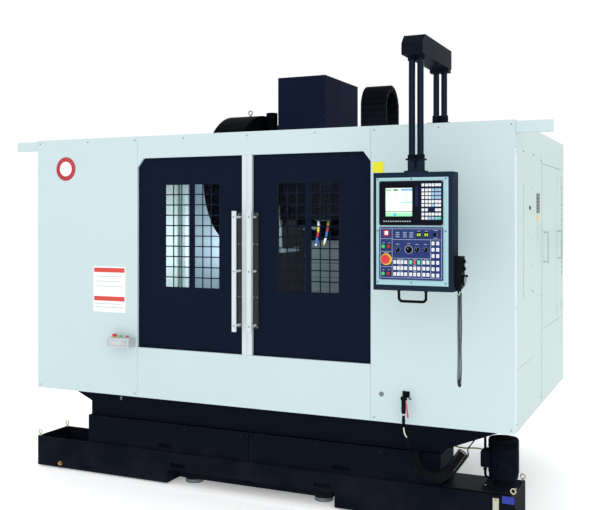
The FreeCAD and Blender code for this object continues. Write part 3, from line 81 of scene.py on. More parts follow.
def at(spot: Spot) -> Vector:
    """Row-frame point, in metres, of a spot in millimetres."""
    return Vector((spot[0] * MM, FRONT + spot[1] * MM, spot[2] * MM))


# ---------------------------------------------------------------- node sheets and shared effects
class NodeSheet:
    """A shader node tree with short calls for what is added to it."""

    def __init__(self, tree: bpy.types.NodeTree) -> None:
        """Keeps the tree, emptied."""
        self.tree = tree
        tree.nodes.clear()

    def add(self, kind: str, inputs: Optional[dict] = None, **settings: object) -> bpy.types.Node:
        """Adds a node.

        Args:
            kind: the node's type, without its ShaderNode prefix.
            inputs: values or sockets by input name or number.
            settings: the node's own properties.

        Returns:
            The node.
        """
        node = self.tree.nodes.new("ShaderNode" + kind)
        for key, value in settings.items():
            setattr(node, key, value)
        for key, value in (inputs or {}).items():
            if isinstance(value, bpy.types.NodeSocket):
                self.tree.links.new(value, node.inputs[key])
            else:
                node.inputs[key].default_value = value
        return node

    def math(self, operation: str, *values: object, clamp: bool = False) -> bpy.types.NodeSocket:
        """Result of a Math node."""
        return self.add("Math", dict(enumerate(values)), operation=operation, use_clamp=clamp).outputs[0]

    def vector(self, operation: str, *values: object) -> bpy.types.NodeSocket:
        """Result of a Vector Math node."""
        return self.add("VectorMath", dict(enumerate(values)), operation=operation).outputs[0]

    def mix(self, factor: object, first: object, second: object) -> bpy.types.NodeSocket:
        """Colour between two colours or sockets by the factor."""
        pair = [rgba(c) if isinstance(c, tuple) else c for c in (first, second)]
        return self.add("Mix", {0: factor, 6: pair[0], 7: pair[1]}, data_type="RGBA").outputs[2]

    def blend(self, factor: object, first: object, second: object) -> bpy.types.NodeSocket:
        """Number between two numbers or sockets by the factor."""
        return self.add("Mix", {0: factor, 2: first, 3: second}, data_type="FLOAT").outputs[0]


class Effect(Enum):
    """The shared effects, each a node group."""

    GRAIN = "surface_grain"
    RUB = "edge_rub"
    DUST = "floor_dust"
    STREAKS = "tool_streaks"
    REGION = "region_mask"
    BANDS = "band_mask"


class Effects:
    """Builds each effect's node group once and places it in materials."""

    SOCKETS = {
        Effect.GRAIN: ({"Vector": "Vector", "Scale": "Float"}, {"Shade": "Float", "Patch": "Float", "Height": "Float"}),
        Effect.RUB: ({"Vector": "Vector", "Radius": "Float", "Amount": "Float"}, {"Mask": "Float"}),
        Effect.DUST: ({"Vector": "Vector", "Top": "Float", "Amount": "Float"}, {"Mask": "Float"}),
        Effect.STREAKS: ({"Vector": "Vector", "Stretch": "Vector"}, {"Shade": "Float", "Height": "Float"}),
        Effect.REGION: ({"Vector": "Vector", "Low": "Vector", "High": "Vector"}, {"Mask": "Float"}),
        Effect.BANDS: ({"Along": "Float", "Pitch": "Float", "Width": "Float"}, {"Mask": "Float", "Ramp": "Float"}),
    }

    def __init__(self) -> None:
        """Starts with no group built."""
        self.built: Dict[Effect, bpy.types.NodeTree] = {}

    def place(self, sheet: NodeSheet, effect: Effect, inputs: dict) -> bpy.types.NodeOutputs:
        """Puts an effect in a sheet and returns its outputs."""
        return sheet.add("Group", inputs, node_tree=self.group(effect)).outputs

    def group(self, effect: Effect) -> bpy.types.NodeTree:
        """The effect's node group, built at its first use."""
        if effect not in self.built:
            tree = bpy.data.node_groups.new(effect.value, "ShaderNodeTree")
            sheet = NodeSheet(tree)
            for way, sockets in zip(("INPUT", "OUTPUT"), self.SOCKETS[effect]):
                for name, kind in sockets.items():
                    tree.interface.new_socket(name=name, in_out=way, socket_type="NodeSocket" + kind)
            source = tree.nodes.new("NodeGroupInput").outputs
            result = tree.nodes.new("NodeGroupOutput").inputs
            made = getattr(self, effect.value)(sheet, source)
            for name, socket in made.items():
                tree.links.new(socket, result[name])
            self.built[effect] = tree
        return self.built[effect]

    @staticmethod
    def surface_grain(sheet: NodeSheet, source: bpy.types.NodeOutputs) -> dict:
        """Fine grain for bump and shade, and slow patches over a hand's breadth."""
        fine = sheet.add("TexNoise",
                         {"Vector": source["Vector"], "Scale": source["Scale"], "Detail": 4.0, "Roughness": 0.6})
        broad = sheet.add("TexNoise", {"Vector": source["Vector"], "Scale": 2.3, "Detail": 3.0, "Roughness": 0.55})
        patch = sheet.add("MapRange", {"Value": broad.outputs["Fac"], "From Min": 0.32, "From Max": 0.68})
        return {"Shade": fine.outputs["Fac"], "Patch": patch.outputs[0], "Height": fine.outputs["Fac"]}

    @staticmethod
    def edge_rub(sheet: NodeSheet, source: bpy.types.NodeOutputs) -> dict:
        """Edges where paint has rubbed thin: where a rounded normal leaves the flat one, broken up by noise."""
        rounded = sheet.add("Bevel", {"Radius": source["Radius"]}, samples=3)
        flat = sheet.add("NewGeometry").outputs["Normal"]
        along = sheet.add("VectorMath", {0: rounded.outputs[0], 1: flat}, operation="DOT_PRODUCT").outputs["Value"]
        edge = sheet.add("MapRange", {"Value": along, "From Min": 0.985, "From Max": 0.85})
        noise = sheet.add("TexNoise", {"Vector": source["Vector"], "Scale": 19.0, "Detail": 3.0})
        chips = sheet.add("MapRange", {"Value": noise.outputs["Fac"], "From Min": 0.4, "From Max": 0.62})
        mask = sheet.math("MULTIPLY", edge.outputs[0], chips.outputs[0])
        return {"Mask": sheet.math("MULTIPLY", mask, source["Amount"], clamp=True)}

    @staticmethod
    def floor_dust(sheet: NodeSheet, source: bpy.types.NodeOutputs) -> dict:
        """Dust that thins out with height, and lies on what faces up."""
        height = sheet.add("SeparateXYZ", {0: source["Vector"]}).outputs["Z"]
        low = sheet.add("MapRange", {"Value": height, "From Min": source["Top"], "From Max": 0.0}).outputs[0]
        facing = sheet.add("SeparateXYZ", {0: sheet.add("NewGeometry").outputs["Normal"]}).outputs["Z"]
        level = sheet.add("MapRange", {"Value": facing, "From Min": 0.6, "From Max": 1.0, "To Max": 0.7}).outputs[0]
        noise = sheet.add("TexNoise", {"Vector": source["Vector"], "Scale": 6.0, "Detail": 5.0}).outputs["Fac"]
        cloud = sheet.add("MapRange", {"Value": noise, "From Min": 0.38, "From Max": 0.7}).outputs[0]
        both = sheet.math("MAXIMUM", low, level)
        mask = sheet.math("MULTIPLY", both, cloud)
        return {"Mask": sheet.math("MULTIPLY", mask, source["Amount"], clamp=True)}

    @staticmethod
    def tool_streaks(sheet: NodeSheet, source: bpy.types.NodeOutputs) -> dict:
        """Fine lines left by a grinding wheel or a brush, along the axis with the least stretch."""
        lines = sheet.vector("MULTIPLY", source["Vector"], source["Stretch"])
        noise = sheet.add("TexNoise", {"Vector": lines, "Scale": 1.0, "Detail": 3.0, "Roughness": 0.7}).outputs["Fac"]
        return {"Shade": noise, "Height": noise}

    @staticmethod
    def region_mask(sheet: NodeSheet, source: bpy.types.NodeOutputs) -> dict:
        """One inside the block between Low and High, else nought."""
        above = sheet.vector("SUBTRACT", source["Vector"], source["Low"])
        below = sheet.vector("SUBTRACT", source["High"], source["Vector"])
        room = sheet.add("SeparateXYZ", {0: sheet.vector("MINIMUM", above, below)}).outputs
        least = sheet.math("MINIMUM", room["X"], sheet.math("MINIMUM", room["Y"], room["Z"]))
        return {"Mask": sheet.math("GREATER_THAN", least, 0.0)}

    @staticmethod
    def band_mask(sheet: NodeSheet, source: bpy.types.NodeOutputs) -> dict:
        """Bands at an even pitch, and how far along its pitch a point is."""
        turn = sheet.math("FRACT", sheet.math("DIVIDE", source["Along"], source["Pitch"]))
        share = sheet.math("DIVIDE", source["Width"], source["Pitch"])
        return {"Mask": sheet.math("LESS_THAN", turn, share), "Ramp": turn}


EFFECTS = Effects()


# ---------------------------------------------------------------- finishes
@dataclass(frozen=True)
class Patch:
    """A part of a piece, by place, that has its own colour."""

    low: Spot
    high: Spot
    colour: Colour
    metallic: float = 0.0
    roughness: float = 0.45


@dataclass(frozen=True)
class Bands:
    """Even dark lines along one axis, such as the laps of a telescopic cover."""

    axis: str
    pitch: float
    width: float
    colour: Colour
    slope: float = 0.0


@dataclass(frozen=True)
class Finish:
    """Paint, plastic, rubber or metal with its grain, wear and dirt. Lengths are in metres."""

    name: str
    colour: Colour
    roughness: float = 0.45
    metallic: float = 0.0
    coat: float = 0.0
    specular: float = 0.35
    grain: float = 450.0
    relief: float = 0.05
    mottle: float = 0.05
    rub: float = 0.0
    rub_colour: Colour = (0.35, 0.36, 0.37)
    rub_radius: float = 0.004
    dust: float = 0.0
    dust_top: float = 0.5
    dust_colour: Colour = (0.42, 0.40, 0.36)
    streaks: Optional[Spot] = None
    patches: Tuple[Patch, ...] = ()
    bands: Optional[Bands] = None
    glow: float = 0.0

    def build(self) -> bpy.types.Material:
        """Makes the material."""
        material = bpy.data.materials.new(self.name)
        material.use_nodes = True
        sheet = NodeSheet(material.node_tree)
        where = sheet.add("TexCoord").outputs["Object"]
        grain = EFFECTS.place(sheet, Effect.GRAIN, {"Vector": where, "Scale": self.grain})
        shade, height = grain["Shade"], grain["Height"]
        if self.streaks:
            lines = EFFECTS.place(sheet, Effect.STREAKS, {"Vector": where, "Stretch": self.streaks})
            shade, height = lines["Shade"], lines["Height"]
        dark = tuple(c * (1 - self.mottle) for c in self.colour)
        light = tuple(min(1.0, c * (1 + self.mottle)) for c in self.colour)
        tone = sheet.math("ADD", sheet.math("MULTIPLY", shade, 0.6), sheet.math("MULTIPLY", grain["Patch"], 0.4))
        colour = sheet.mix(tone, dark, light)
        rough = sheet.add("MapRange", {"Value": tone, "To Min": self.roughness * 0.88,
                                       "To Max": min(1.0, self.roughness * 1.14)}).outputs[0]
        metallic: object = self.metallic
        for patch in self.patches:
            ends = {"Vector": where, "Low": at(patch.low), "High": at(patch.high)}
            mask = EFFECTS.place(sheet, Effect.REGION, ends)["Mask"]
            own = sheet.mix(tone, tuple(c * (1 - self.mottle) for c in patch.colour), patch.colour)
            colour = sheet.mix(mask, colour, own)
            rough = sheet.blend(mask, rough, patch.roughness)
            metallic = sheet.blend(mask, metallic, patch.metallic)
        if self.bands:
            along = sheet.add("SeparateXYZ", {0: where}).outputs[self.bands.axis]
            band = EFFECTS.place(sheet, Effect.BANDS,
                                 {"Along": along, "Pitch": self.bands.pitch, "Width": self.bands.width})
            colour = sheet.mix(band["Mask"], colour, self.bands.colour)
            step = sheet.math("MULTIPLY", band["Ramp"], self.bands.slope)
            height = sheet.math("ADD", sheet.math("MULTIPLY", height, 0.2), step)
        if self.rub:
            worn = EFFECTS.place(sheet, Effect.RUB,
                                 {"Vector": where, "Radius": self.rub_radius, "Amount": self.rub})["Mask"]
            colour = sheet.mix(worn, colour, self.rub_colour)
        if self.dust:
            dirt = EFFECTS.place(sheet, Effect.DUST,
                                 {"Vector": where, "Top": self.dust_top, "Amount": self.dust})["Mask"]
            colour = sheet.mix(dirt, colour, self.dust_colour)
            rough = sheet.blend(dirt, rough, 0.9)
        bump = sheet.add("Bump", {"Strength": self.relief, "Distance": 0.002, "Height": height}).outputs[0]
        inputs = {"Base Color": colour, "Roughness": rough, "Metallic": metallic, "Normal": bump,
                  "Coat Weight": self.coat, "Coat Roughness": 0.25,
                  "Specular IOR Level": self.specular}
        if self.glow:
            inputs["Emission Color"] = colour
            inputs["Emission Strength"] = self.glow
        shader = sheet.add("BsdfPrincipled", inputs)
        sheet.add("OutputMaterial", {"Surface": shader.outputs[0]})
        return material


@dataclass(frozen=True)
class Glazing:
    """Clear pane with a faint tint and a film of coolant haze."""

    name: str
    tint: Colour
    roughness: float = 0.0

    def build(self) -> bpy.types.Material:
        """Makes the material."""
        material = bpy.data.materials.new(self.name)
        material.use_nodes = True
        sheet = NodeSheet(material.node_tree)
        where = sheet.add("TexCoord").outputs["Object"]
        grain = EFFECTS.place(sheet, Effect.GRAIN, {"Vector": where, "Scale": 60.0})
        haze = sheet.add("MapRange",
                         {"Value": grain["Patch"], "To Min": self.roughness, "To Max": self.roughness + 0.02})
        colour = sheet.mix(grain["Patch"], self.tint, tuple(c * 0.94 for c in self.tint))
        shader = sheet.add("BsdfPrincipled", {"Base Color": colour, "Roughness": haze.outputs[0], "IOR": 1.08,
                                              "Transmission Weight": 1.0})
        sheet.add("OutputMaterial", {"Surface": shader.outputs[0]})
        return material


PALE = srgb(196, 215, 218)
# Painted shade: the same pale paint made darker and greener for the side faces, for the light that falls on the sides,
# not a different paint.
PALE_WITH_PAINTED_SIDE_SHADE = srgb(184, 204, 201)
NAVY = srgb(18, 26, 43)
BASE = srgb(14, 18, 28)
RUBBED_NAVY = srgb(74, 82, 98)


class Look(Enum):
    """Every finish on the machine."""

    PALE_PAINT = Finish("pale_paint", PALE, 0.42, coat=0.05, specular=0.25, grain=520, relief=0.03, mottle=0.018,
                        rub=0.35,
                        rub_colour=srgb(168, 176, 182), rub_radius=0.003)
    REAR_PAINT_WITH_PAINTED_SHADE = Finish("rear_paint_painted_shade", PALE, 0.42, coat=0.05, specular=0.25, grain=520, relief=0.03, mottle=0.018,
                        rub=0.35,
                        rub_colour=srgb(168, 176, 182), rub_radius=0.003,
                        # Painted shade on the rear wall's inner face: a near-black block behind the magazine side and a
                        # grey-blue block further left, for the shade and dark shapes seen through the windows.
                        patches=(Patch((-1060, 2180, 900), (-430, 2273.6, 2700), srgb(16, 20, 28), roughness=0.6),
                                 Patch((-1995, 2180, 900), (-1060, 2273.6, 2700), srgb(140, 160, 172))))
    # Side faces' finish with painted shade: a darker, greener copy of the front's pale paint and of its rubbed edges.
    SIDE_PAINT_WITH_PAINTED_SHADE = Finish("side_paint_painted_shade", PALE_WITH_PAINTED_SIDE_SHADE, 0.42, coat=0.05, specular=0.25, grain=520, relief=0.03, mottle=0.018,
                        rub=0.35,
                        rub_colour=srgb(160, 172, 174), rub_radius=0.003)
    NAVY_PAINT = Finish("navy_paint", NAVY, 0.45, specular=0.006, grain=520, relief=0.05, mottle=0.06, rub=0.5,
                        rub_colour=RUBBED_NAVY, rub_radius=0.003)
    HEAD_PAINT = Finish("head_cover_paint", srgb(20, 27, 46), 0.45, specular=0.004, grain=480, relief=0.06,
                        mottle=0.06, rub=0.5,
                        rub_colour=RUBBED_NAVY)
    BASE_PAINT = Finish("base_paint", BASE, 0.5, specular=0.008, grain=420, relief=0.08, mottle=0.08, rub=0.6,
                        rub_colour=srgb(46, 52, 64), dust=0.12, dust_top=0.42, dust_colour=srgb(70, 72, 74))
    PENDANT_PAINT = Finish("pendant_paint", srgb(28, 40, 56), 0.5, specular=0.012, grain=900, relief=0.12, mottle=0.08,
                           rub=0.6,
                           rub_colour=RUBBED_NAVY, rub_radius=0.002,
                           patches=(Patch((1228.5, -561, 1674.5), (1699.5, -558, 2354.5), srgb(162, 200, 208)),))
    POST_PAINT = Finish("post_paint", srgb(17, 22, 32), 0.4, specular=0.008, grain=700, relief=0.03, mottle=0.06,
                        rub=0.3,
                        rub_colour=RUBBED_NAVY,
                        patches=(Patch((1400, -540, 2505), (1544, -440, 3100), srgb(24, 34, 47), roughness=0.12,
                                       metallic=1.0),
                                 Patch((1400, 20, 2800), (1544, 140, 3100), srgb(24, 34, 47), roughness=0.12,
                                       metallic=1.0)))
    CASTING = Finish("casting_paint", srgb(158, 168, 166), 0.5, grain=130, relief=0.25, mottle=0.05, rub=0.3, dust=0.1,
                     rub_colour=srgb(118, 122, 122), dust_top=0.9)
    MACHINED = Finish("machined_iron", srgb(138, 140, 142), 0.33, metallic=0.9, relief=0.08, mottle=0.12,
                      streaks=(6.0, 600.0, 600.0))
    GROUND = Finish("ground_steel", srgb(186, 188, 190), 0.24, metallic=1.0, relief=0.04, mottle=0.08,
                    streaks=(420.0, 420.0, 9.0))
    SHIELD = Finish("telescopic_steel", srgb(168, 171, 174), 0.3, metallic=0.85, relief=0.5, mottle=0.08,
                    streaks=(5.0, 300.0, 300.0), bands=Bands("Z", 0.138, 0.005, srgb(38, 40, 44), slope=1.2))
    BLACK_METAL = Finish("black_metal", srgb(9, 12, 17), 0.5, specular=0.006, grain=500, relief=0.06, mottle=0.08,
                         rub=0.5,
                         rub_colour=srgb(52, 56, 64))
    GREY_METAL = Finish("grey_metal", srgb(120, 124, 128), 0.4, metallic=0.6, grain=300, relief=0.06, mottle=0.1)
    CARRIER = Finish("carrier_plastic", srgb(12, 14, 20), 0.5, specular=0.006, grain=600, relief=0.3, mottle=0.08,
                     bands=Bands("Z", 0.05, 0.006, srgb(5, 5, 7), slope=0.5))
    CARRIER_LINK = Finish("carrier_link", srgb(11, 12, 16), 0.5, specular=0.01, grain=600, relief=0.2, mottle=0.08)
    HANDLE = Finish("handle_and_stile", srgb(206, 216, 221), 0.36, coat=0.2, grain=500, relief=0.03, mottle=0.03,
                    rub=0.3,
                    rub_colour=srgb(150, 156, 162),
                    patches=(Patch((-90, 16, 1255), (-42.5, 26, 2145), srgb(16, 19, 27)),
                             Patch((42.5, 16, 1255), (90, 26, 2145), srgb(16, 19, 27))))
    CHROME = Finish("bright_steel", srgb(200, 202, 204), 0.16, metallic=1.0, grain=300, relief=0.02, mottle=0.05)
    BRASS = Finish("brass", srgb(176, 142, 82), 0.3, metallic=1.0, grain=300, relief=0.05, mottle=0.15)
    ZINC = Finish("zinc_screw", srgb(150, 153, 156), 0.34, metallic=0.9, grain=700, relief=0.05, mottle=0.15)
    YELLOW_ZINC = Finish("yellow_zinc", srgb(196, 188, 164), 0.36, metallic=0.55, grain=500, relief=0.06, mottle=0.12,
                         patches=(Patch((1470, -20, 236), (2260, 420, 264), BASE),))
    BLACK_SCREW = Finish("black_screw", srgb(22, 23, 26), 0.4, metallic=0.5, grain=700, relief=0.05, mottle=0.15)
    BLACK_PLASTIC = Finish("black_plastic", srgb(12, 14, 19), 0.45, specular=0.05, grain=1100, relief=0.1, mottle=0.1)
    SCREEN_BEZEL = Finish("screen_bezel", srgb(15, 17, 26), 0.4, specular=0.04, grain=1100, relief=0.06, mottle=0.06)
    BLUE_PANEL = Finish("operator_blue", srgb(43, 57, 108), 0.45, specular=0.05, grain=800, relief=0.04, mottle=0.04)
    KEYPAD_BLUE = Finish("keypad_blue", srgb(25, 36, 68), 0.45, specular=0.05, grain=800, relief=0.04, mottle=0.04)
    LINE_WHITE = Finish("line_white", srgb(196, 208, 226), 0.45, grain=800, relief=0.02, mottle=0.02)
    KEY_WHITE = Finish("key_white", srgb(232, 236, 238), 0.4, grain=900, relief=0.03, mottle=0.03, glow=0.12)
    KEY_BLUE = Finish("key_blue", srgb(162, 198, 226), 0.4, grain=900, relief=0.03, mottle=0.03, glow=0.1)
    LAMP_GREY = Finish("lamp_grey", srgb(128, 150, 176), 0.4, grain=900, relief=0.03, mottle=0.03)
    DIGITS = Finish("digit_segments", srgb(158, 186, 62), 0.4, grain=900, relief=0.02, mottle=0.05, glow=0.3)
    KEY_GREEN = Finish("key_green", srgb(92, 206, 150), 0.35, grain=900, relief=0.03, mottle=0.03, glow=0.25)
    KEY_RED = Finish("key_red", srgb(206, 62, 88), 0.35, grain=900, relief=0.03, mottle=0.03, glow=0.2)
    RED = Finish("red_plastic", srgb(206, 28, 40), 0.3, coat=0.4, grain=500, relief=0.03, mottle=0.05)
    DARK_RED = Finish("dark_red_plastic", srgb(150, 20, 28), 0.3, coat=0.3, grain=500, relief=0.03, mottle=0.05)
    GREEN = Finish("green_plastic", srgb(40, 178, 92), 0.3, coat=0.3, grain=500, relief=0.03, mottle=0.05, glow=0.1)
    YELLOW = Finish("yellow_plastic", srgb(236, 186, 52), 0.4, grain=500, relief=0.03, mottle=0.04)
    LABEL_YELLOW = Finish("yellow_plate", srgb(232, 226, 40), 0.4, grain=500, relief=0.02, mottle=0.03)
    LABEL_WHITE = Finish("white_plate", srgb(240, 242, 243), 0.38, grain=500, relief=0.02, mottle=0.02)
    LABEL_RED = Finish("red_band", srgb(214, 70, 62), 0.4, grain=500, relief=0.02, mottle=0.03)
    LABEL_DARK = Finish("dark_plate", srgb(40, 47, 58), 0.4, grain=500, relief=0.02, mottle=0.04)
    LABEL_GREY = Finish("grey_plate", srgb(172, 182, 184), 0.4, grain=500, relief=0.02, mottle=0.04)
    LABEL_BLUE = Finish("blue_plate", srgb(30, 50, 150), 0.4, grain=500, relief=0.02, mottle=0.04)
    BADGE_RED = Finish("badge_enamel", srgb(178, 22, 40), 0.25, coat=0.5, grain=400, relief=0.02, mottle=0.03)
    RUBBER = Finish("black_rubber", srgb(10, 11, 14), 0.5, specular=0.06, grain=700, relief=0.12, mottle=0.12)
    HOSE = Finish("hose_plastic", srgb(9, 11, 15), 0.3, specular=0.08, grain=600, relief=0.04, mottle=0.1,
                  patches=(Patch((1236, -80, 588), (1290, -40, 700), srgb(226, 222, 202), roughness=0.35),))
    BOX_GREY = Finish("button_box_grey", srgb(196, 204, 208), 0.42, grain=700, relief=0.06, mottle=0.03, rub=0.3,
                      rub_colour=srgb(150, 158, 164))
    GAUGE = Finish("gauge_green", srgb(180, 196, 178), 0.2, coat=0.5, grain=300, relief=0.02, mottle=0.05)
    LAMP = Finish("work_lamp", srgb(250, 252, 255), 0.4, grain=300, relief=0.02, mottle=0.01, glow=9.0)
    OIL_LINE = Finish("oil_line", srgb(150, 168, 84), 0.35, coat=0.2, grain=500, relief=0.03, mottle=0.1)
    HOSE_YELLOW = Finish("coolant_yellow", srgb(232, 200, 60), 0.4, grain=500, relief=0.03, mottle=0.04)
    HOSE_BLUE = Finish("coolant_blue", srgb(48, 120, 200), 0.4, grain=500, relief=0.03, mottle=0.04)
    HOSE_RED = Finish("coolant_red", srgb(200, 50, 50), 0.4, grain=500, relief=0.03, mottle=0.04)
    PANE = Glazing("window_pane", srgb(240, 247, 247))


class Paintshop:
    """Builds each finish once and puts it on nodes and pieces."""

    def __init__(self) -> None:
        """Starts with no material built."""
        self.built: Dict[Look, bpy.types.Material] = {}

    def material(self, look: Look) -> bpy.types.Material:
        """The finish's material, built at its first use."""
        if look not in self.built:
            self.built[look] = look.value.build()
        return self.built[look]

    def coat(self, thing: Thing, look: Look) -> None:
        """Gives the whole thing one finish."""
        thing.data.materials.clear()
        thing.data.materials.append(self.material(look))


PAINT = Paintshop()

NODE_LOOKS: Dict[Look, Tuple[str, ...]] = {
    Look.CASTING: ("column",),
    Look.MACHINED: ("saddle", "table"),
    Look.GROUND: ("spindle", "tool_arm"),
    Look.SHIELD: ("way_shield",),
    Look.GREY_METAL: ("leveling_pads", "magazine_disc"),
    Look.YELLOW_ZINC: ("tank_fittings",),
    Look.BLACK_METAL: ("head", "magazine_cover"),
    Look.HEAD_PAINT: ("head_cover",),
    Look.CARRIER: ("cable_carrier",),
    Look.PALE_PAINT: ("front_panels", "header_and_sill", "door_track", "frame_tubes"),
    Look.REAR_PAINT_WITH_PAINTED_SHADE: ("rear_and_roof_panels",),
    Look.SIDE_PAINT_WITH_PAINTED_SHADE: ("side_panels", "cabinet_box", "cabinet_door_front", "cabinet_door_rear"),
    Look.NAVY_PAINT: ("door_left", "door_right"),
    Look.PANE: ("door_left_glass", "door_right_glass"),
    Look.HANDLE: ("door_left_handle", "door_right_handle"),
    Look.BASE_PAINT: ("bed", "coolant_tank", "chip_trays", "chute", "coolant_pump"),
    Look.BOX_GREY: ("button_box",),
    Look.RED: ("box_e_stop", "box_red_button", "pendant_e_stop", "air_gun_trigger"),
    Look.DARK_RED: ("power_off_button", "feed_hold_button"),
    Look.GREEN: ("box_green_button", "power_on_button", "cycle_start_button"),
    Look.POST_PAINT: ("pendant_posts", "pendant_arm"),
    Look.PENDANT_PAINT: ("pendant_box",),
    Look.SCREEN_BEZEL: ("screen_unit",),
    Look.BLUE_PANEL: ("operator_panel",),
    Look.BLACK_PLASTIC: ("mode_knob", "feed_knob", "rapid_knob", "spindle_knob", "key_switch", "handwheel_dial",
                         "handwheel_box", "pendant_handle", "air_gun"),
}


def dress_nodes() -> None:
    """Gives every CAD node its finish."""
    for look, names in NODE_LOOKS.items():
        for name in names:
            PAINT.coat(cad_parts[name], look)
            LOG.info("node %s: %s", name, look.value.name)


# ---------------------------------------------------------------- modelling bench
class Facing(Enum):
    """The way a piece modelled on the bench, face up, looks once in place: its own x, y and z axes."""

    FRONT = ((1, 0, 0), (0, 0, 1), (0, -1, 0))
    REAR = ((-1, 0, 0), (0, 0, 1), (0, 1, 0))
    RIGHT = ((0, 1, 0), (0, 0, 1), (1, 0, 0))
    LEFT = ((0, -1, 0), (0, 0, 1), (-1, 0, 0))
    UP = ((1, 0, 0), (0, 1, 0), (0, 0, 1))
    DOWN = ((1, 0, 0), (0, -1, 0), (0, 0, -1))

    def matrix(self, spot: Spot) -> Matrix:
        """Turn to this facing, then a move to the spot."""
        return Matrix.Translation(at(spot)) @ Matrix([Vector(axis) for axis in self.value]).transposed().to_4x4()

    @property
    def way(self) -> Vector:
        """The direction that it looks in."""
        return Vector(self.value[2])


class Bench:
    """Modelling steps, in millimetres. Turned pieces are made at the origin, face up, and then put in place."""

    @staticmethod
    def start() -> None:
        """Leaves nothing selected and nothing in edit mode."""
        if bpy.context.object and bpy.context.object.mode != "OBJECT":
            bpy.ops.object.mode_set(mode="OBJECT")
        bpy.ops.object.select_all(action="DESELECT")

    @staticmethod
    def alone(thing: Thing) -> None:
        """Selects this thing only, and makes it the active one."""
        Bench.start()
        thing.select_set(True)
        bpy.context.view_layer.objects.active = thing

    @staticmethod
    def block(x: Span, y: Span, z: Span, edge: float = 1.0, segments: int = 2) -> Thing:
        """Block with rounded edges, from (low, high) spans in millimetres, in place.

        Args:
            x, y, z: the spans; y is behind the front face.
            edge: radius of the rounded edges.
            segments: faces round each edge.

        Returns:
            The block.
        """
        Bench.start()
        low, high = at((x[0], y[0], z[0])), at((x[1], y[1], z[1]))
        bpy.ops.mesh.primitive_cube_add(size=1, location=(low + high) / 2, scale=high - low)
        thing = bpy.context.object
        bpy.ops.object.transform_apply(location=True, rotation=True, scale=True)
        Bench.alone(thing)
        bpy.ops.object.mode_set(mode="EDIT")
        bpy.ops.mesh.select_mode(type="EDGE")
        bpy.ops.mesh.select_all(action="DESELECT")
        bpy.ops.mesh.edges_select_sharp(sharpness=math.radians(SHARP))
        bpy.ops.mesh.bevel(offset=min(edge * MM, min(high - low) * 0.45), segments=segments, affect="EDGES")
        bpy.ops.object.mode_set(mode="OBJECT")
        bpy.ops.object.shade_smooth_by_angle(angle=math.radians(SMOOTH))
        return thing

    @staticmethod
    def turned(profile: Sequence[Span], spot: Spot, facing: Facing, sides: int = 28, smooth: float = SMOOTH) -> Thing:
        """Turned piece: a disc drawn out ring by ring.

        Args:
            profile: (radius, height) of each ring from the back to the tip, in millimetres.
            spot: place of the piece's foot.
            facing: the way its tip looks.
            sides: faces round it.
            smooth: edges flatter than this, in degrees, are smoothed.

        Returns:
            The piece.
        """
        Bench.start()
        radius, low = profile[0]
        bpy.ops.mesh.primitive_circle_add(vertices=sides, radius=radius * MM, fill_type="NGON",
                                          location=(0, 0, low * MM))
        thing = bpy.context.object
        bpy.ops.object.transform_apply(location=True, rotation=True, scale=True)
        bpy.ops.object.mode_set(mode="EDIT")
        bpy.ops.mesh.select_mode(type="FACE")
        bpy.ops.mesh.select_all(action="SELECT")
        for wide, high in profile[1:]:
            bpy.ops.mesh.extrude_region_move(TRANSFORM_OT_translate={"value": (0, 0, (high - low) * MM)})
            ratio = wide / radius
            if abs(ratio - 1) > 1e-6:
                bpy.ops.transform.resize(value=(ratio, ratio, 1), center_override=(0, 0, high * MM))
            radius, low = wide, high
        bpy.ops.mesh.select_all(action="SELECT")
        bpy.ops.mesh.normals_make_consistent(inside=False)
        bpy.ops.object.mode_set(mode="OBJECT")
        Bench.alone(thing)
        thing.matrix_world = facing.matrix(spot) @ thing.matrix_world
        bpy.ops.object.transform_apply(location=True, rotation=True, scale=True)
        bpy.ops.object.shade_smooth_by_angle(angle=math.radians(smooth))
        return thing

    @staticmethod
    def push(thing: Thing, facing: Facing, border: float, depth: float) -> None:
        """Insets the faces that look one way and draws the middle out, or in where depth is negative (millimetres)."""
        Bench.alone(thing)
        for polygon in thing.data.polygons:
            polygon.select = polygon.normal.dot(facing.way) > 0.98 and polygon.area > 1e-7
        for edge in thing.data.edges:
            edge.select = False
        bpy.ops.object.mode_set(mode="EDIT")
        bpy.ops.mesh.select_mode(type="FACE")
        bpy.ops.mesh.inset(thickness=border * MM, depth=0.0)
        bpy.ops.mesh.extrude_region_move(TRANSFORM_OT_translate={"value": facing.way * depth * MM})
        bpy.ops.object.mode_set(mode="OBJECT")

    @staticmethod
    def join(things: Sequence[Thing]) -> Thing:
        """Joins the things into the first."""
        Bench.alone(things[0])
        for thing in things[1:]:
            thing.select_set(True)
        if len(things) > 1:
            bpy.ops.object.join()
        return bpy.context.object

    @staticmethod
    def spread(first: Thing, moves: Sequence[Spot]) -> Thing:
        """Copies a piece by each move in millimetres and joins the copies."""
        return Bench.copies(first, [Matrix.Translation(Vector(move) * MM) for move in moves])

    @staticmethod
    def ring(first: Thing, pivot: Spot, axis: str, count: int) -> Thing:
        """Copies a piece evenly round a spot and joins the copies."""
        middle = Matrix.Translation(at(pivot))
        back = Matrix.Translation(-at(pivot))
        return Bench.copies(first, [middle @ Matrix.Rotation(step * math.tau / count, 4, axis) @ back
                                    for step in range(count)])

    @staticmethod
    def copies(first: Thing, places: Sequence[Matrix]) -> Thing:
        """Copies a piece to each place, each copy with its own mesh, removes the first and joins the copies."""
        made: List[Thing] = []
        for place in places:
            twin = first.copy()
            twin.data = first.data.copy()
            twin.data.transform(place)
            bpy.context.collection.objects.link(twin)
            made.append(twin)
        bpy.data.objects.remove(first)
        return Bench.join(made)

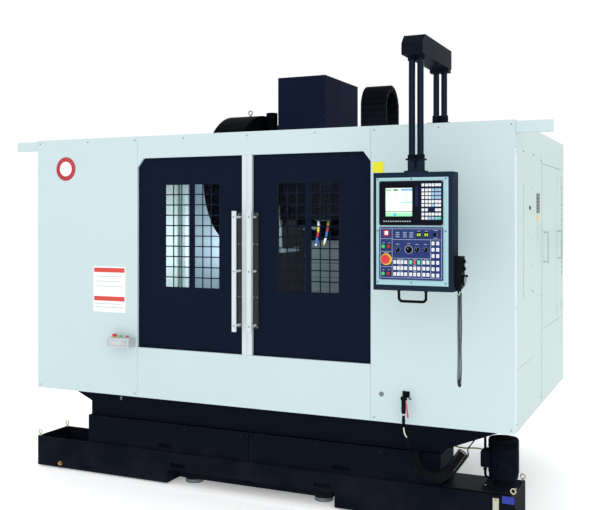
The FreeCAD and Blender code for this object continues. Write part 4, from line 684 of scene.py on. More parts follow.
    @staticmethod
    def cut(thing: Thing, cutter: Thing) -> None:
        """Cuts one closed piece out of another and removes the cutter."""
        Bench.alone(thing)
        modifier = thing.modifiers.new("cut", "BOOLEAN")
        modifier.operation = "DIFFERENCE"
        modifier.object = cutter
        modifier.solver = "EXACT"
        bpy.ops.object.modifier_apply(modifier=modifier.name)
        bpy.data.objects.remove(cutter)

    @staticmethod
    def tube(name: str, points: Sequence[Vector], radius: float, steps: int, sides: int = 0) -> Thing:
        """Curve object with one open NURBS spline.

        Args:
            name: the object's and the curve's name.
            points: the control points, in metres.
            radius: half its thickness in metres, or nought for a bare line.
            steps: drawn points for each control point.
            sides: resolution of its round section.

        Returns:
            The curve object.
        """
        curve = bpy.data.curves.new(name, "CURVE")
        curve.dimensions = "3D"
        curve.resolution_u = steps
        curve.bevel_depth = radius
        curve.bevel_resolution = sides
        curve.use_fill_caps = radius > 0
        spline = curve.splines.new("NURBS")
        spline.points.add(len(points) - 1)
        for control, point in zip(spline.points, points):
            control.co = (*point, 1.0)
        spline.order_u = 3
        spline.use_endpoint_u = True
        thing = bpy.data.objects.new(name, curve)
        bpy.context.collection.objects.link(thing)
        return thing

    @staticmethod
    def pipe(points: Sequence[Spot], radius: float) -> Thing:
        """Rigid pipe along a smooth line through spots in millimetres, made a mesh."""
        Bench.start()
        Bench.alone(Bench.tube("pipe", [at(spot) for spot in points], radius * MM, 8, 4))
        bpy.ops.object.convert(target="MESH")
        bpy.ops.object.shade_smooth_by_angle(angle=math.radians(SMOOTH))
        return bpy.context.object


def fit(thing: Thing, name: str, body: str, look: Look) -> Thing:
    """Names, paints and mounts a finished piece.

    Args:
        thing: the piece, in place.
        name: its name in the table.
        body: the CAD body that it rides on.
        look: its finish.

    Returns:
        The piece.
    """
    thing.name = name
    thing.data.name = name
    PAINT.coat(thing, look)
    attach(thing, body)
    LOG.info("piece %s on %s: %s", name, body, look.value.name)
    return thing


def screws(radius: float, facing: Facing, height: float, spots: Sequence[Spot]) -> Thing:
    """Cap screws with sunk sockets, one at each spot, joined."""
    profile = [(radius, 0), (radius, height * 0.8), (radius * 0.88, height), (radius * 0.5, height),
               (radius * 0.45, height * 0.35)]
    return Bench.spread(Bench.turned(profile, (0, 0, 0), facing, sides=12), spots)


# ---------------------------------------------------------------- cords
@dataclass
class Line:
    """Even run along a smooth route, with a frame that doesn't twist."""

    points: List[Vector]

    @classmethod
    def through(cls, route: Sequence[Spot]) -> "Line":
        """Reads the points that a route's NURBS curve passes through."""
        thing = Bench.tube("route", [at(spot) for spot in route], 0.0, 48)
        bpy.context.view_layer.update()
        mesh = bpy.data.meshes.new_from_object(thing.evaluated_get(bpy.context.evaluated_depsgraph_get()))
        points = [v.co.copy() for v in mesh.vertices]
        bpy.data.objects.remove(thing)
        bpy.data.meshes.remove(mesh)
        return cls(points)

    def frames(self) -> Tuple[List[float], List[Tuple[Vector, Vector, Vector]]]:
        """How far along each point is, and its place, direction and side."""
        way = (self.points[1] - self.points[0]).normalized()
        side = way.orthogonal().normalized()
        lengths, made = [0.0], [(self.points[0], way, side)]
        for a, b in zip(self.points, self.points[1:]):
            way = (b - a).normalized()
            side = (side - way * side.dot(way)).normalized()
            lengths.append(lengths[-1] + (b - a).length)
            made.append((b, way, side))
        return lengths, made

    def helix(self, radius: float, pitch: float, bend: float, toward: Tuple[Spot, Spot]) -> List[Vector]:
        """Points of a helix round the line. At each end it straightens out along the line in one bend.

        Args:
            radius: from the line to the middle of the wire, in metres.
            pitch: distance between turns, in metres, about.
            bend: radius of the bend at each end, in metres.
            toward: the side of the line on which the first and the last point lie.

        Returns:
            The helix's points.
        """
        turn_points, bend_points = 12, 6
        lengths, frames = self.frames()
        ends = [math.atan2(Vector(aim).dot(way.cross(side)), Vector(aim).dot(side))
                for (_, way, side), aim in zip((frames[0], frames[-1]), toward)]
        rate = math.tau / pitch
        slope = math.atan(radius * rate)
        ramp, swing = bend * math.sin(slope), bend / radius * (1 - math.cos(slope))
        plain = lengths[-1] - 2 * ramp
        spare = ends[1] - ends[0] - 2 * swing
        rate = (spare + math.tau * round((rate * plain - spare) / math.tau)) / plain
        steps = [(bend * math.sin(slope * k / bend_points), bend / radius * (1 - math.cos(slope * k / bend_points)))
                 for k in range(bend_points)]
        count = math.ceil(rate * plain / math.tau * turn_points)
        whole = 2 * swing + rate * plain
        run = steps + [(ramp + plain * k / count, swing + rate * plain * k / count) for k in range(count + 1)]
        run += [(lengths[-1] - reach, whole - angle) for reach, angle in reversed(steps)]
        made: List[Vector] = []
        index = 0
        for reach, angle in run:
            while index < len(lengths) - 2 and lengths[index + 1] < reach:
                index += 1
            share = (reach - lengths[index]) / max(1e-9, lengths[index + 1] - lengths[index])
            centre = frames[index][0].lerp(frames[index + 1][0], min(1.0, max(0.0, share)))
            _, way, side = frames[index + 1]
            turn = ends[0] + angle
            made.append(centre + (side * math.cos(turn) + way.cross(side) * math.sin(turn)) * radius)
        return made


@dataclass
class AirLine:
    """Blow gun on its hook, its coiled hose and the outlet under the sill."""

    hose_diameter: float = 0.009
    coil_radius: float = 0.0372
    coil_pitch: float = 0.0122
    end_bend: float = 0.04
    hose_length: float = 9.87
    coil_route: Tuple[Spot, ...] = ((1324, -60, 532), (1332, -62, 440), (1390, -60, 362), (1477, -58, 332),
                                    (1560, -60, 372), (1628, -58, 462), (1694, -56, 560))
    gun_tail: Tuple[Spot, ...] = ((1251, -60, 690), (1251, -60, 652), (1257, -62, 612), (1281, -60, 578))
    outlet_tail: Tuple[Spot, ...] = ((1735, 34, 640), (1735, 34, 606))

    def build(self) -> None:
        """Makes the hose, its fittings and the gun's dress."""
        fittings = [
            Bench.turned([(9.5, 0), (10.5, 2), (10.5, 14), (9.0, 16), (7.0, 30), (5.4, 38)], (1251, -60, 692),
                         Facing.DOWN),
            Bench.turned([(11, 0), (11, 12), (8.5, 14), (7.0, 26), (5.4, 30)], (1735, 34, 641), Facing.DOWN)]
        sleeves = fit(Bench.join(fittings), "hose_sleeves", "machine", Look.BLACK_METAL)
        hose = self.hose()
        PAINT.coat(hose, Look.HOSE)
        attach(hose, "machine")
        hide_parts("air_hose_tails", "air_hose_coil")
        LOG.info("cord air_hose: %.2f m", self.hose_length)
        grip = Bench.turned([(11, 0), (15.5, 3), (16, 40), (14.8, 60), (16, 84), (15, 104), (12.5, 108)],
                            (1251, -60, 753),
                            Facing.UP)
        fit(grip, "air_gun_grip", "machine", Look.BLACK_PLASTIC)
        ring = Bench.turned([(12.6, 0), (13.4, 1), (13.4, 9), (12.6, 10)], (1251, -60, 738), Facing.UP)
        nozzle = Bench.turned([(6.4, 0), (6.8, 2), (6.8, 12), (4.2, 16), (3.4, 31)], (1275, -60, 854), Facing.RIGHT)
        fit(Bench.join([ring, nozzle]), "air_gun_nozzle", "machine", Look.CHROME)

    def hose(self) -> Thing:
        """The hose as one spline: outlet tail, coil and gun tail."""
        coil = Line.through(list(reversed(self.coil_route))).helix(self.coil_radius, self.coil_pitch, self.end_bend,
                                                                   ((0.3, 0.8, 0.3), (-1, 0, 0.2)))
        points = [at(s) for s in self.outlet_tail] + coil + [at(s) for s in reversed(self.gun_tail)]
        return Bench.tube("air_hose", points, self.hose_diameter / 2, 3, 3)


@dataclass
class JogUnit:
    """Jog unit on the pendant's side: dial, selectors and its curly cord."""

    x: float = 1747
    front: float = -500
    rear: float = -448
    wire: float = 0.0035
    coil_radius: float = 0.0071
    coil_pitch: float = 0.0062
    end_bend: float = 0.0085
    cord_length: float = 8.25
    dial: Spot = (1769, -473, 1715)
    dial_radius: float = 32
    selectors: Tuple[float, float] = (1829, 1783)

    def build(self) -> None:
        """Makes the boots and the cord, then the controls."""
        x, front, rear = self.x, self.front, self.rear
        boots = [Bench.turned([(9, 0), (8, 3), (8, 6), (6.6, 8), (6.6, 10), (5, 13), (5, 15), (3.4, 22)], spot,
                              Facing.DOWN)
                 for spot in ((x, front, 1650), (x, rear, 1658))]
        boot = fit(Bench.join(boots), "jog_cord_boots", "pendant_body", Look.RUBBER)
        route = [(x, front, 1626), (x, front, 1540), (x - 2, front + 2, 1405), (x + 2, front, 1275),
                 (x, front - 3, 1165), (x - 2, front + 1, 1090), (x + 1, front + 14, 1052), (x, rear - 11, 1050),
                 (x - 2, rear, 1088), (x + 1, rear + 3, 1162), (x - 2, rear - 1, 1270), (x + 2, rear + 2, 1400),
                 (x, rear, 1530), (x, rear, 1636)]
        coil = Line.through(route).helix(self.coil_radius, self.coil_pitch, self.end_bend, ((0, -1, 0), (0, 1, 0)))
        points = [at((x, front, 1649)), at((x, front, 1640))] + coil + [at((x, rear, 1646)), at((x, rear, 1657))]
        cord = Bench.tube("jog_cord", points, self.wire / 2, 2, 2)
        PAINT.coat(cord, Look.RUBBER)
        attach(cord, "pendant_body")
        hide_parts("handwheel_cord")
        LOG.info("cord jog_cord: %.2f m", self.cord_length)
        self.controls()

    def controls(self) -> None:
        """Dial ring, marks and crank, selector knobs with their lines, and the plate behind them."""
        side, y, z = self.dial
        ring = Bench.turned([(30, 0), (31, 0.4), (31, 1.2), (26, 1.6), (25, 1.6)], (side + 15, y, z), Facing.RIGHT,
                            sides=48)
        fit(ring, "dial_face", "handwheel_dial_body", Look.GREY_METAL)
        mark = Bench.block((1785.4, 1786.2), (y - 0.5, y + 0.5), (z + 21, z + 25), 0.1, 1)
        fit(Bench.ring(mark, (0, y, z), "X", 40), "dial_marks", "handwheel_dial_body", Look.LINE_WHITE)
        grip = Bench.turned([(5.5, 0), (7.5, 3), (8, 12), (6.5, 15), (4, 16)], (side + 14, y, z + self.dial_radius - 9),
                            Facing.RIGHT)
        fit(grip, "dial_crank", "handwheel_dial_body", Look.BLACK_PLASTIC)
        knobs = [Bench.turned([(13, 0), (13, 3), (12.4, 4), (11.6, 15), (10.4, 17)], (side, y, height), Facing.RIGHT,
                              sides=18, smooth=12) for height in self.selectors]
        fit(Bench.join(knobs), "jog_selectors", "pendant_body", Look.BLACK_PLASTIC)
        lines = [Bench.block((1785.4, 1786.4), (y - 0.9, y + 0.9), (height + 2, height + 11), 0.2, 1)
                 for height in self.selectors]
        fit(Bench.join(lines), "jog_selector_lines", "pendant_body", Look.LINE_WHITE)
        plate = Bench.block((1768.6, 1770), (-514, -432), (1756, 1856), 0.4, 1)
        Bench.push(plate, Facing.RIGHT, 4, -0.3)
        fit(plate, "jog_plate", "pendant_body", Look.BLACK_METAL)


# ---------------------------------------------------------------- enclosure
@dataclass
class Enclosure:
    """What is fixed to the sheet metal: badge, plates, plugs, vents, screws and lamps."""

    body: str = "machine"
    badge: Spot = (-1704, 0, 2505)
    badge_radius: float = 98
    plate_x: Span = (-1422, -1105)
    plate_z: Span = (1331, 1703)
    right: float = 2000

    def build(self) -> None:
        """Makes every fixed detail of the sheet metal."""
        self.front()
        self.right_side()
        self.left_side()
        self.back()
        self.inside()

    def front(self) -> None:
        """Badge, plates, plugs and screws of the front panels, and the button box's lid and collars."""
        r = self.badge_radius
        fit(Bench.turned([(r, 0), (r, 2.2), (r - 3, 3.4), (r - 12, 3.4), (r - 14, 2.4)], self.badge, Facing.FRONT,
                         sides=64), "round_badge", self.body, Look.BADGE_RED)
        fit(Bench.turned([(r * 0.62, 0), (r * 0.62, 3.0), (r * 0.6, 3.6), (r * 0.2, 3.9)], self.badge, Facing.FRONT,
                         sides=56), "badge_middle", self.body, Look.LABEL_WHITE)
        x, z = self.plate_x, self.plate_z
        fit(Bench.block(x, (-1.4, 0), z, 0.5, 1), "notice_plate", self.body, Look.LABEL_WHITE)
        fit(Bench.join([Bench.block((x[0] + 8, x[1] - 8), (-2.2, -1.3), (top - 36, top), 0.3, 1)
                        for top in (z[1] - 12, z[0] + 128)]), "notice_bands", self.body, Look.LABEL_RED)
        rules = [Bench.block((x[0] + 20, x[1] - 20 - 24 * (line % 2)), (-2.0, -1.3), (top - 4, top), 0.3, 1)
                 for line, top in enumerate((z[1] - 80, z[1] - 120, z[1] - 160, z[0] + 70, z[0] + 42))]
        fit(Bench.join(rules), "notice_rules", self.body, Look.LABEL_GREY)
        fit(Bench.block((1003, 1089), (-1.6, 0), (2418, 2494), 0.5, 1), "yellow_plate", self.body, Look.LABEL_YELLOW)
        plug = Bench.turned([(17, 0), (17, 3), (14, 5.5), (9, 5.5), (8, 3.4)], (1070, 0, 858), Facing.FRONT)
        nipple = Bench.turned([(9, 0), (9, 8), (6.5, 10), (6.5, 22), (4.5, 25)], (-1148, 2, 652), Facing.DOWN)
        fit(Bench.join([plug, nipple]), "front_plugs", self.body, Look.GREY_METAL)
        moves = [(sx, 0, sz) for sx in (-1975, -1015, 1015, 1975) for sz in (690, 2720)]
        moves += [(sx, 0, 2720) for sx in (-1480, -560, 0, 560, 1480)]
        fit(screws(5.5, Facing.FRONT, 3.4, moves), "front_screws", self.body, Look.ZINC)
        lid = Bench.block((-1216, -1011), (-101.4, -99.6), (1070, 1133), 0.8, 2)
        Bench.push(lid, Facing.FRONT, 4, -0.4)
        fit(lid, "button_box_lid", self.body, Look.BOX_GREY)
        fit(Bench.join([Bench.turned([(19, 0), (21, 0.6), (21, 4.6), (19.4, 6)], (cx, -50, 1139.2), Facing.UP)
                        for cx in (-1113.5, -1051.5)]), "button_collars", self.body, Look.CHROME)
        fit(Bench.turned([(19.6, 0), (26, 0.5), (26, 3.4), (22, 5.0), (19.3, 4.6), (19.3, 0.3)],
                         (-1175.5, -50, 1139.2), Facing.UP), "box_stop_collar", self.body, Look.YELLOW)

    def right_side(self) -> None:
        """Corner strip, lock, plates, vent slots, seams, screws and cabinet hinges of the right side."""
        x = self.right
        fit(Bench.block((x, x + 3), (9, 30), (700, 2560), 1.0, 2), "corner_strip", self.body, Look.LABEL_WHITE)
        fit(Bench.turned([(15, 0), (15, 3), (12, 6), (8, 6), (7, 3.5)], (x + 3, 537, 2171), Facing.RIGHT),
            "panel_lock", self.body, Look.BLACK_METAL)
        fit(Bench.block((x, x + 1.6), (843, 978), (2135, 2282), 0.5, 1), "rating_plate_blank", self.body,
            Look.LABEL_DARK)
        fit(Bench.join([Bench.block((x + 1.4, x + 2.1), (857, 964), (2150 + 26 * i, 2160 + 26 * i), 0.2, 1)
                        for i in range(5)]), "rating_plate_rows", self.body, Look.GREY_METAL)
        fit(Bench.block((x, x + 1.6), (850, 925), (2078, 2118), 0.5, 1), "yellow_tag", self.body, Look.YELLOW)
        fit(Bench.join([Bench.block((x, x + 0.9), (860, 925), (1920 + 22 * i, 1928 + 22 * i), 0.2, 1)
                        for i in range(7)]), "side_plate_lines", self.body, Look.LABEL_GREY)
        slot = Bench.block((x - 0.5, x + 0.8), (2139, 2182), (1604, 1632), 0.3, 1)
        Bench.push(slot, Facing.RIGHT, 3, -0.8)
        fit(Bench.spread(slot, [(0, 0, 46 * i) for i in range(17)]), "vent_slots", self.body, Look.BLACK_METAL)
        fold = Bench.block((x - 0.2, x + 2.2), (68, 700), (1078, 1083), 0.6, 1)
        seam = Bench.block((x - 0.2, x + 2.2), (1068, 1073), (700, 2560), 0.6, 1)
        fit(Bench.join([fold, seam]), "side_seams", self.body, Look.SIDE_PAINT_WITH_PAINTED_SHADE)
        spots = [(x, y, z) for y in (48, 1050) for z in (720, 1500, 2540)]
        spots += [(x, 690, 1560), (x, 300, 2560), (x, 700, 2560)]
        fit(screws(6, Facing.RIGHT, 3.6, spots), "side_screws", self.body, Look.ZINC)
        for side, y in (("front", 1882), ("rear", 2107)):
            barrels = [Bench.turned([(4.2, 0), (5, 1), (5, 79), (4.2, 80)], (x, y, z - 40), Facing.UP, sides=18)
                       for z in (1340, 1875, 2410)]
            fit(Bench.join(barrels), f"cabinet_{side}_hinges", f"cabinet_{side}_body", Look.SIDE_PAINT_WITH_PAINTED_SHADE)

    def left_side(self) -> None:
        """Service cover with its pulls, louvres and screws on the left side."""
        x = -self.right
        cover = Bench.block((x - 3, x), (420, 1180), (900, 1900), 2.0, 2)
        Bench.push(cover, Facing.LEFT, 14, -0.8)
        fit(cover, "service_cover", self.body, Look.SIDE_PAINT_WITH_PAINTED_SHADE)
        pulls = [Bench.pipe([(x, y, 1300), (x - 30, y, 1300), (x - 34, y, 1312), (x - 34, y, 1488), (x - 30, y, 1500),
                             (x, y, 1500)], 6) for y in (500, 1100)]
        fit(Bench.join(pulls), "service_pulls", self.body, Look.CHROME)
        fin = Bench.block((x - 7, x + 0.5), (1400, 1900), (1500, 1518), 3.0, 2)
        fit(Bench.spread(fin, [(0, 0, 40 * i) for i in range(18)]), "left_louvres", self.body, Look.SIDE_PAINT_WITH_PAINTED_SHADE)
        spots = [(x - 3, y, z) for y in (436, 800, 1164) for z in (916, 1884)]
        spots += [(x, y, z) for y in (40, 2240) for z in (720, 1600, 2540)]
        fit(screws(6, Facing.LEFT, 3.6, spots), "left_screws", self.body, Look.ZINC)

    def back(self) -> None:
        """Louvres and screws at the back."""
        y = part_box("rear_and_roof_panels")[1].y / MM - FRONT / MM
        fin = Bench.block((900, 1400), (y - 0.5, y + 7), (1400, 1418), 3.0, 2)
        moves = [(dx, 0, 40 * i) for i in range(16) for dx in (0, -2300)]
        fit(Bench.spread(fin, moves), "rear_louvres", self.body, Look.PALE_PAINT)
        spots = [(sx, y, z) for sx in (-1960, -470, 470, 1960) for z in (720, 1640, 2700)]
        fit(screws(6, Facing.REAR, 3.6, spots), "rear_screws", self.body, Look.ZINC)

    def inside(self) -> None:
        """Work lamp under the header."""
        fit(Bench.block((-650, 650), (110, 160), (2535, 2560), 6, 3), "work_lamp", self.body, Look.LAMP)


# ---------------------------------------------------------------- doors
@dataclass
class FrontDoor:
    """Screws, window trim and folds of one sliding door."""

    side: int
    body: str
    strip_x: float = 65.5
    groups: Tuple[Span, ...] = ((255, 480), (520, 745))
    window_z: Span = (1555, 2367)

    @property
    def name(self) -> str:
        """The side's word."""
        return "left" if self.side < 0 else "right"

    def span(self, low: float, high: float) -> Span:
        """The x span on this door's side."""
        return (low, high) if self.side > 0 else (-high, -low)

    def build(self) -> None:
        """Makes the door's details."""
        spots = [(self.side * (self.strip_x + dx), 17, z) for z in (1275, 1500, 1900, 2125) for dx in (-14, 14)]
        fit(screws(5, Facing.FRONT, 3.2, spots), f"{self.name}_strip_screws", self.body, Look.ZINC)
        spots = [(self.side * 64, -91, z) for z in (1290, 1697.5, 2105)]
        fit(screws(6.5, Facing.FRONT, 3.0, spots), f"{self.name}_bar_screws", self.body, Look.ZINC)
        frames = []
        for low, high in self.groups:
            frames += self.gasket(self.span(low - 9, high + 9), (self.window_z[0] - 9, self.window_z[1] + 9))
        fit(Bench.join(frames), f"{self.name}_window_trim", self.body, Look.NAVY_PAINT)
        fit(Bench.join([Bench.block(self.span(44, 1000), (23.0, 25.2), z, 0.8, 2)
                        for z in ((1080, 1092),
                                  (2540, 2552))]), f"{self.name}_door_folds", self.body, Look.NAVY_PAINT)

    def gasket(self, x: Span, z: Span) -> List[Thing]:
        """Raised bead round one group of windows."""
        wide, y = 7, (22.6, 25.2)
        return [Bench.block(x, y, (z[0] - wide, z[0]), 0.9, 2), Bench.block(x, y, (z[1], z[1] + wide), 0.9, 2),
                Bench.block((x[0] - wide, x[0]), y, (z[0] - wide, z[1] + wide), 0.9, 2),
                Bench.block((x[1], x[1] + wide), y, (z[0] - wide, z[1] + wide), 0.9, 2)]


# ---------------------------------------------------------------- roof, head and magazine
@dataclass
class Upperworks:
    """Head cover, magazine, cable carrier and what shows above the roof."""

    cover_x: float = 222
    cover_front: float = 1000
    cover_z: Span = (2650, 3311)
    magazine: Spot = (-720, 1150, 2430)
    magazine_radius: float = 575
    carrier_width: float = 212
    carrier_radii: Tuple[float, float] = (190, 130)
    carrier_y: float = 1290

    def build(self) -> None:
        """Makes the details of everything above the roof."""
        self.head_cover()
        self.magazine_dress()
        self.carrier_links()
        self.nozzles()

    def head_cover(self) -> None:
        """Seams, screws and louvres of the head cover."""
        x, front, (z0, z1) = self.cover_x, self.cover_front, self.cover_z
        folds = [Bench.block((side * x - 1.2, side * x + 1.2), (1324, 1328), (z0 + 6, z1 - 4), 0.8, 1)
                 for side in (-1, 1)]
        folds.append(Bench.block((-x + 6, x - 6), (front - 1.2, front + 1), (3096, 3100), 0.6, 1))
        fit(Bench.join(folds), "head_cover_folds", "head_body", Look.HEAD_PAINT)
        spots = [(sx, front, z) for sx in (-205, 205) for z in (2780, 2960, 3140, 3290)]
        heads = [screws(5.5, Facing.FRONT, 3.4, spots)]
        for facing, side in ((Facing.RIGHT, x), (Facing.LEFT, -x)):
            spots = [(side, y, z) for y in (1030, 1345, 1750) for z in (2780, 3000, 3290)]
            heads.append(screws(5.5, facing, 3.4, spots))
        fit(Bench.join(heads), "head_cover_screws", "head_body", Look.BLACK_SCREW)
        slot = Bench.block((-x - 1.5, -x + 0.5), (1420, 1640), (3060, 3072), 0.8, 2)
        fit(Bench.spread(slot, [(0, 0, 26 * i) for i in range(7)]), "head_cover_louvres", "head_body", Look.HEAD_PAINT)

    def magazine_dress(self) -> None:
        """Boss, screws and eye bolt of the magazine, and its motor's cap."""
        x, y, z = self.magazine
        r = self.magazine_radius
        fit(Bench.turned([(90, 0), (90, 5), (84, 7), (44, 7), (40, 12), (30, 13)], (x, y, z), Facing.LEFT, sides=48),
            "magazine_boss", "machine", Look.BLACK_METAL)
        spots = [(x, y + (r - 26) * math.sin(math.tau * i / 16), z + (r - 26) * math.cos(math.tau * i / 16))
                 for i in range(16)]
        fit(screws(7, Facing.LEFT, 4, spots), "magazine_screws", "machine", Look.ZINC)
        eye = Bench.turned([(14, 0), (14, 6), (9, 8), (9, 20), (6, 22)], (-570, y, z + r - 0.5), Facing.UP)
        Bench.start()
        bpy.ops.mesh.primitive_torus_add(location=at((-570, y, z + r + 36)), rotation=(math.pi / 2, 0, 0),
                                         major_radius=0.018, minor_radius=0.005, major_segments=32, minor_segments=10)
        loop = bpy.context.object
        bpy.ops.object.transform_apply(location=True, rotation=True, scale=True)
        bpy.ops.object.shade_smooth_by_angle(angle=math.radians(SMOOTH))
        fit(Bench.join([eye, loop]), "magazine_eye", "machine", Look.ZINC)
        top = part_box("magazine_cover")[1].z
        fit(Bench.turned([(50, 0), (50.0, 2), (46, 8), (20, 9)], (-370, 1180, top / MM - 9.4), Facing.UP, sides=36),
            "arm_motor_cap", "machine", Look.BLACK_METAL)

    def carrier_links(self) -> None:
        """Side plates of the cable carrier's links."""
        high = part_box("cable_carrier")[1]
        x = (high.x / MM - self.carrier_width, high.x / MM)
        outer, inner = self.carrier_radii
        y, centre = self.carrier_y, high.z / MM - outer
        link = Bench.block((-2.4, 2.4), (-24, 24), (-22, 22), 2.2, 2)
        Bench.push(link, Facing.RIGHT, 6, 1.2)
        link.data.transform(Matrix.Translation(Vector((0, -FRONT, 0))))
        middle = (outer + inner) / 2
        places: List[Spot] = []
        for side, bottom in ((1, 2790), (-1, 2850)):
            places += [(y + side * middle, z, 0.0) for z in range(int(centre) - 26, bottom, -50)]
        for step in range(9):
            angle = math.pi * (step + 0.5) / 9
            places.append((y + middle * math.cos(angle), centre + middle * math.sin(angle), angle))
        links = Bench.copies(link, [Matrix.Translation(at((edge, py, pz))) @ Matrix.Rotation(angle, 4, "X")
                                    for py, pz, angle in places for edge in (x[0] - 1.4, x[1] + 1.4)])
        fit(links, "carrier_links", "machine", Look.CARRIER_LINK)

    def nozzles(self) -> None:
        """Jointed coolant hoses beside the spindle nose, in coloured segments, on their manifold."""
        looks = (Look.LABEL_WHITE, Look.HOSE_YELLOW, Look.HOSE_RED, Look.HOSE_BLUE)
        groups: Dict[Look, List[Spot]] = {look: [] for look in looks}
        for row, (foot, drift) in enumerate(((1070, 20), (1290, -20))):
            for step in range(13):
                lean = step / 12
                spot = (128 - 34 * lean * lean, foot + drift * lean, 2078 - 17 * step)
                groups[looks[(step // 3 + row) % len(looks)]].append(spot)
        profile = [(8, 0), (10.5, 3), (11, 8), (9, 13), (6.5, 15), (6.0, 19)]
        for look, spots in groups.items():
            hose = Bench.spread(Bench.turned(profile, (0, 0, 0), Facing.DOWN, sides=16), spots)
            fit(hose, f"coolant_hose_{look.value.name}", "head_body", look)
        fit(Bench.block((112, 144), (1040, 1320), (2070, 2082), 3, 2), "coolant_manifold", "head_body",
            Look.GREY_METAL)
        spots = [(100 * math.cos(math.tau * i / 8), 1180 + 100 * math.sin(math.tau * i / 8), 2002) for i in range(8)]
        fit(screws(7, Facing.DOWN, 6, spots), "nose_screws", "head_body", Look.BLACK_SCREW)


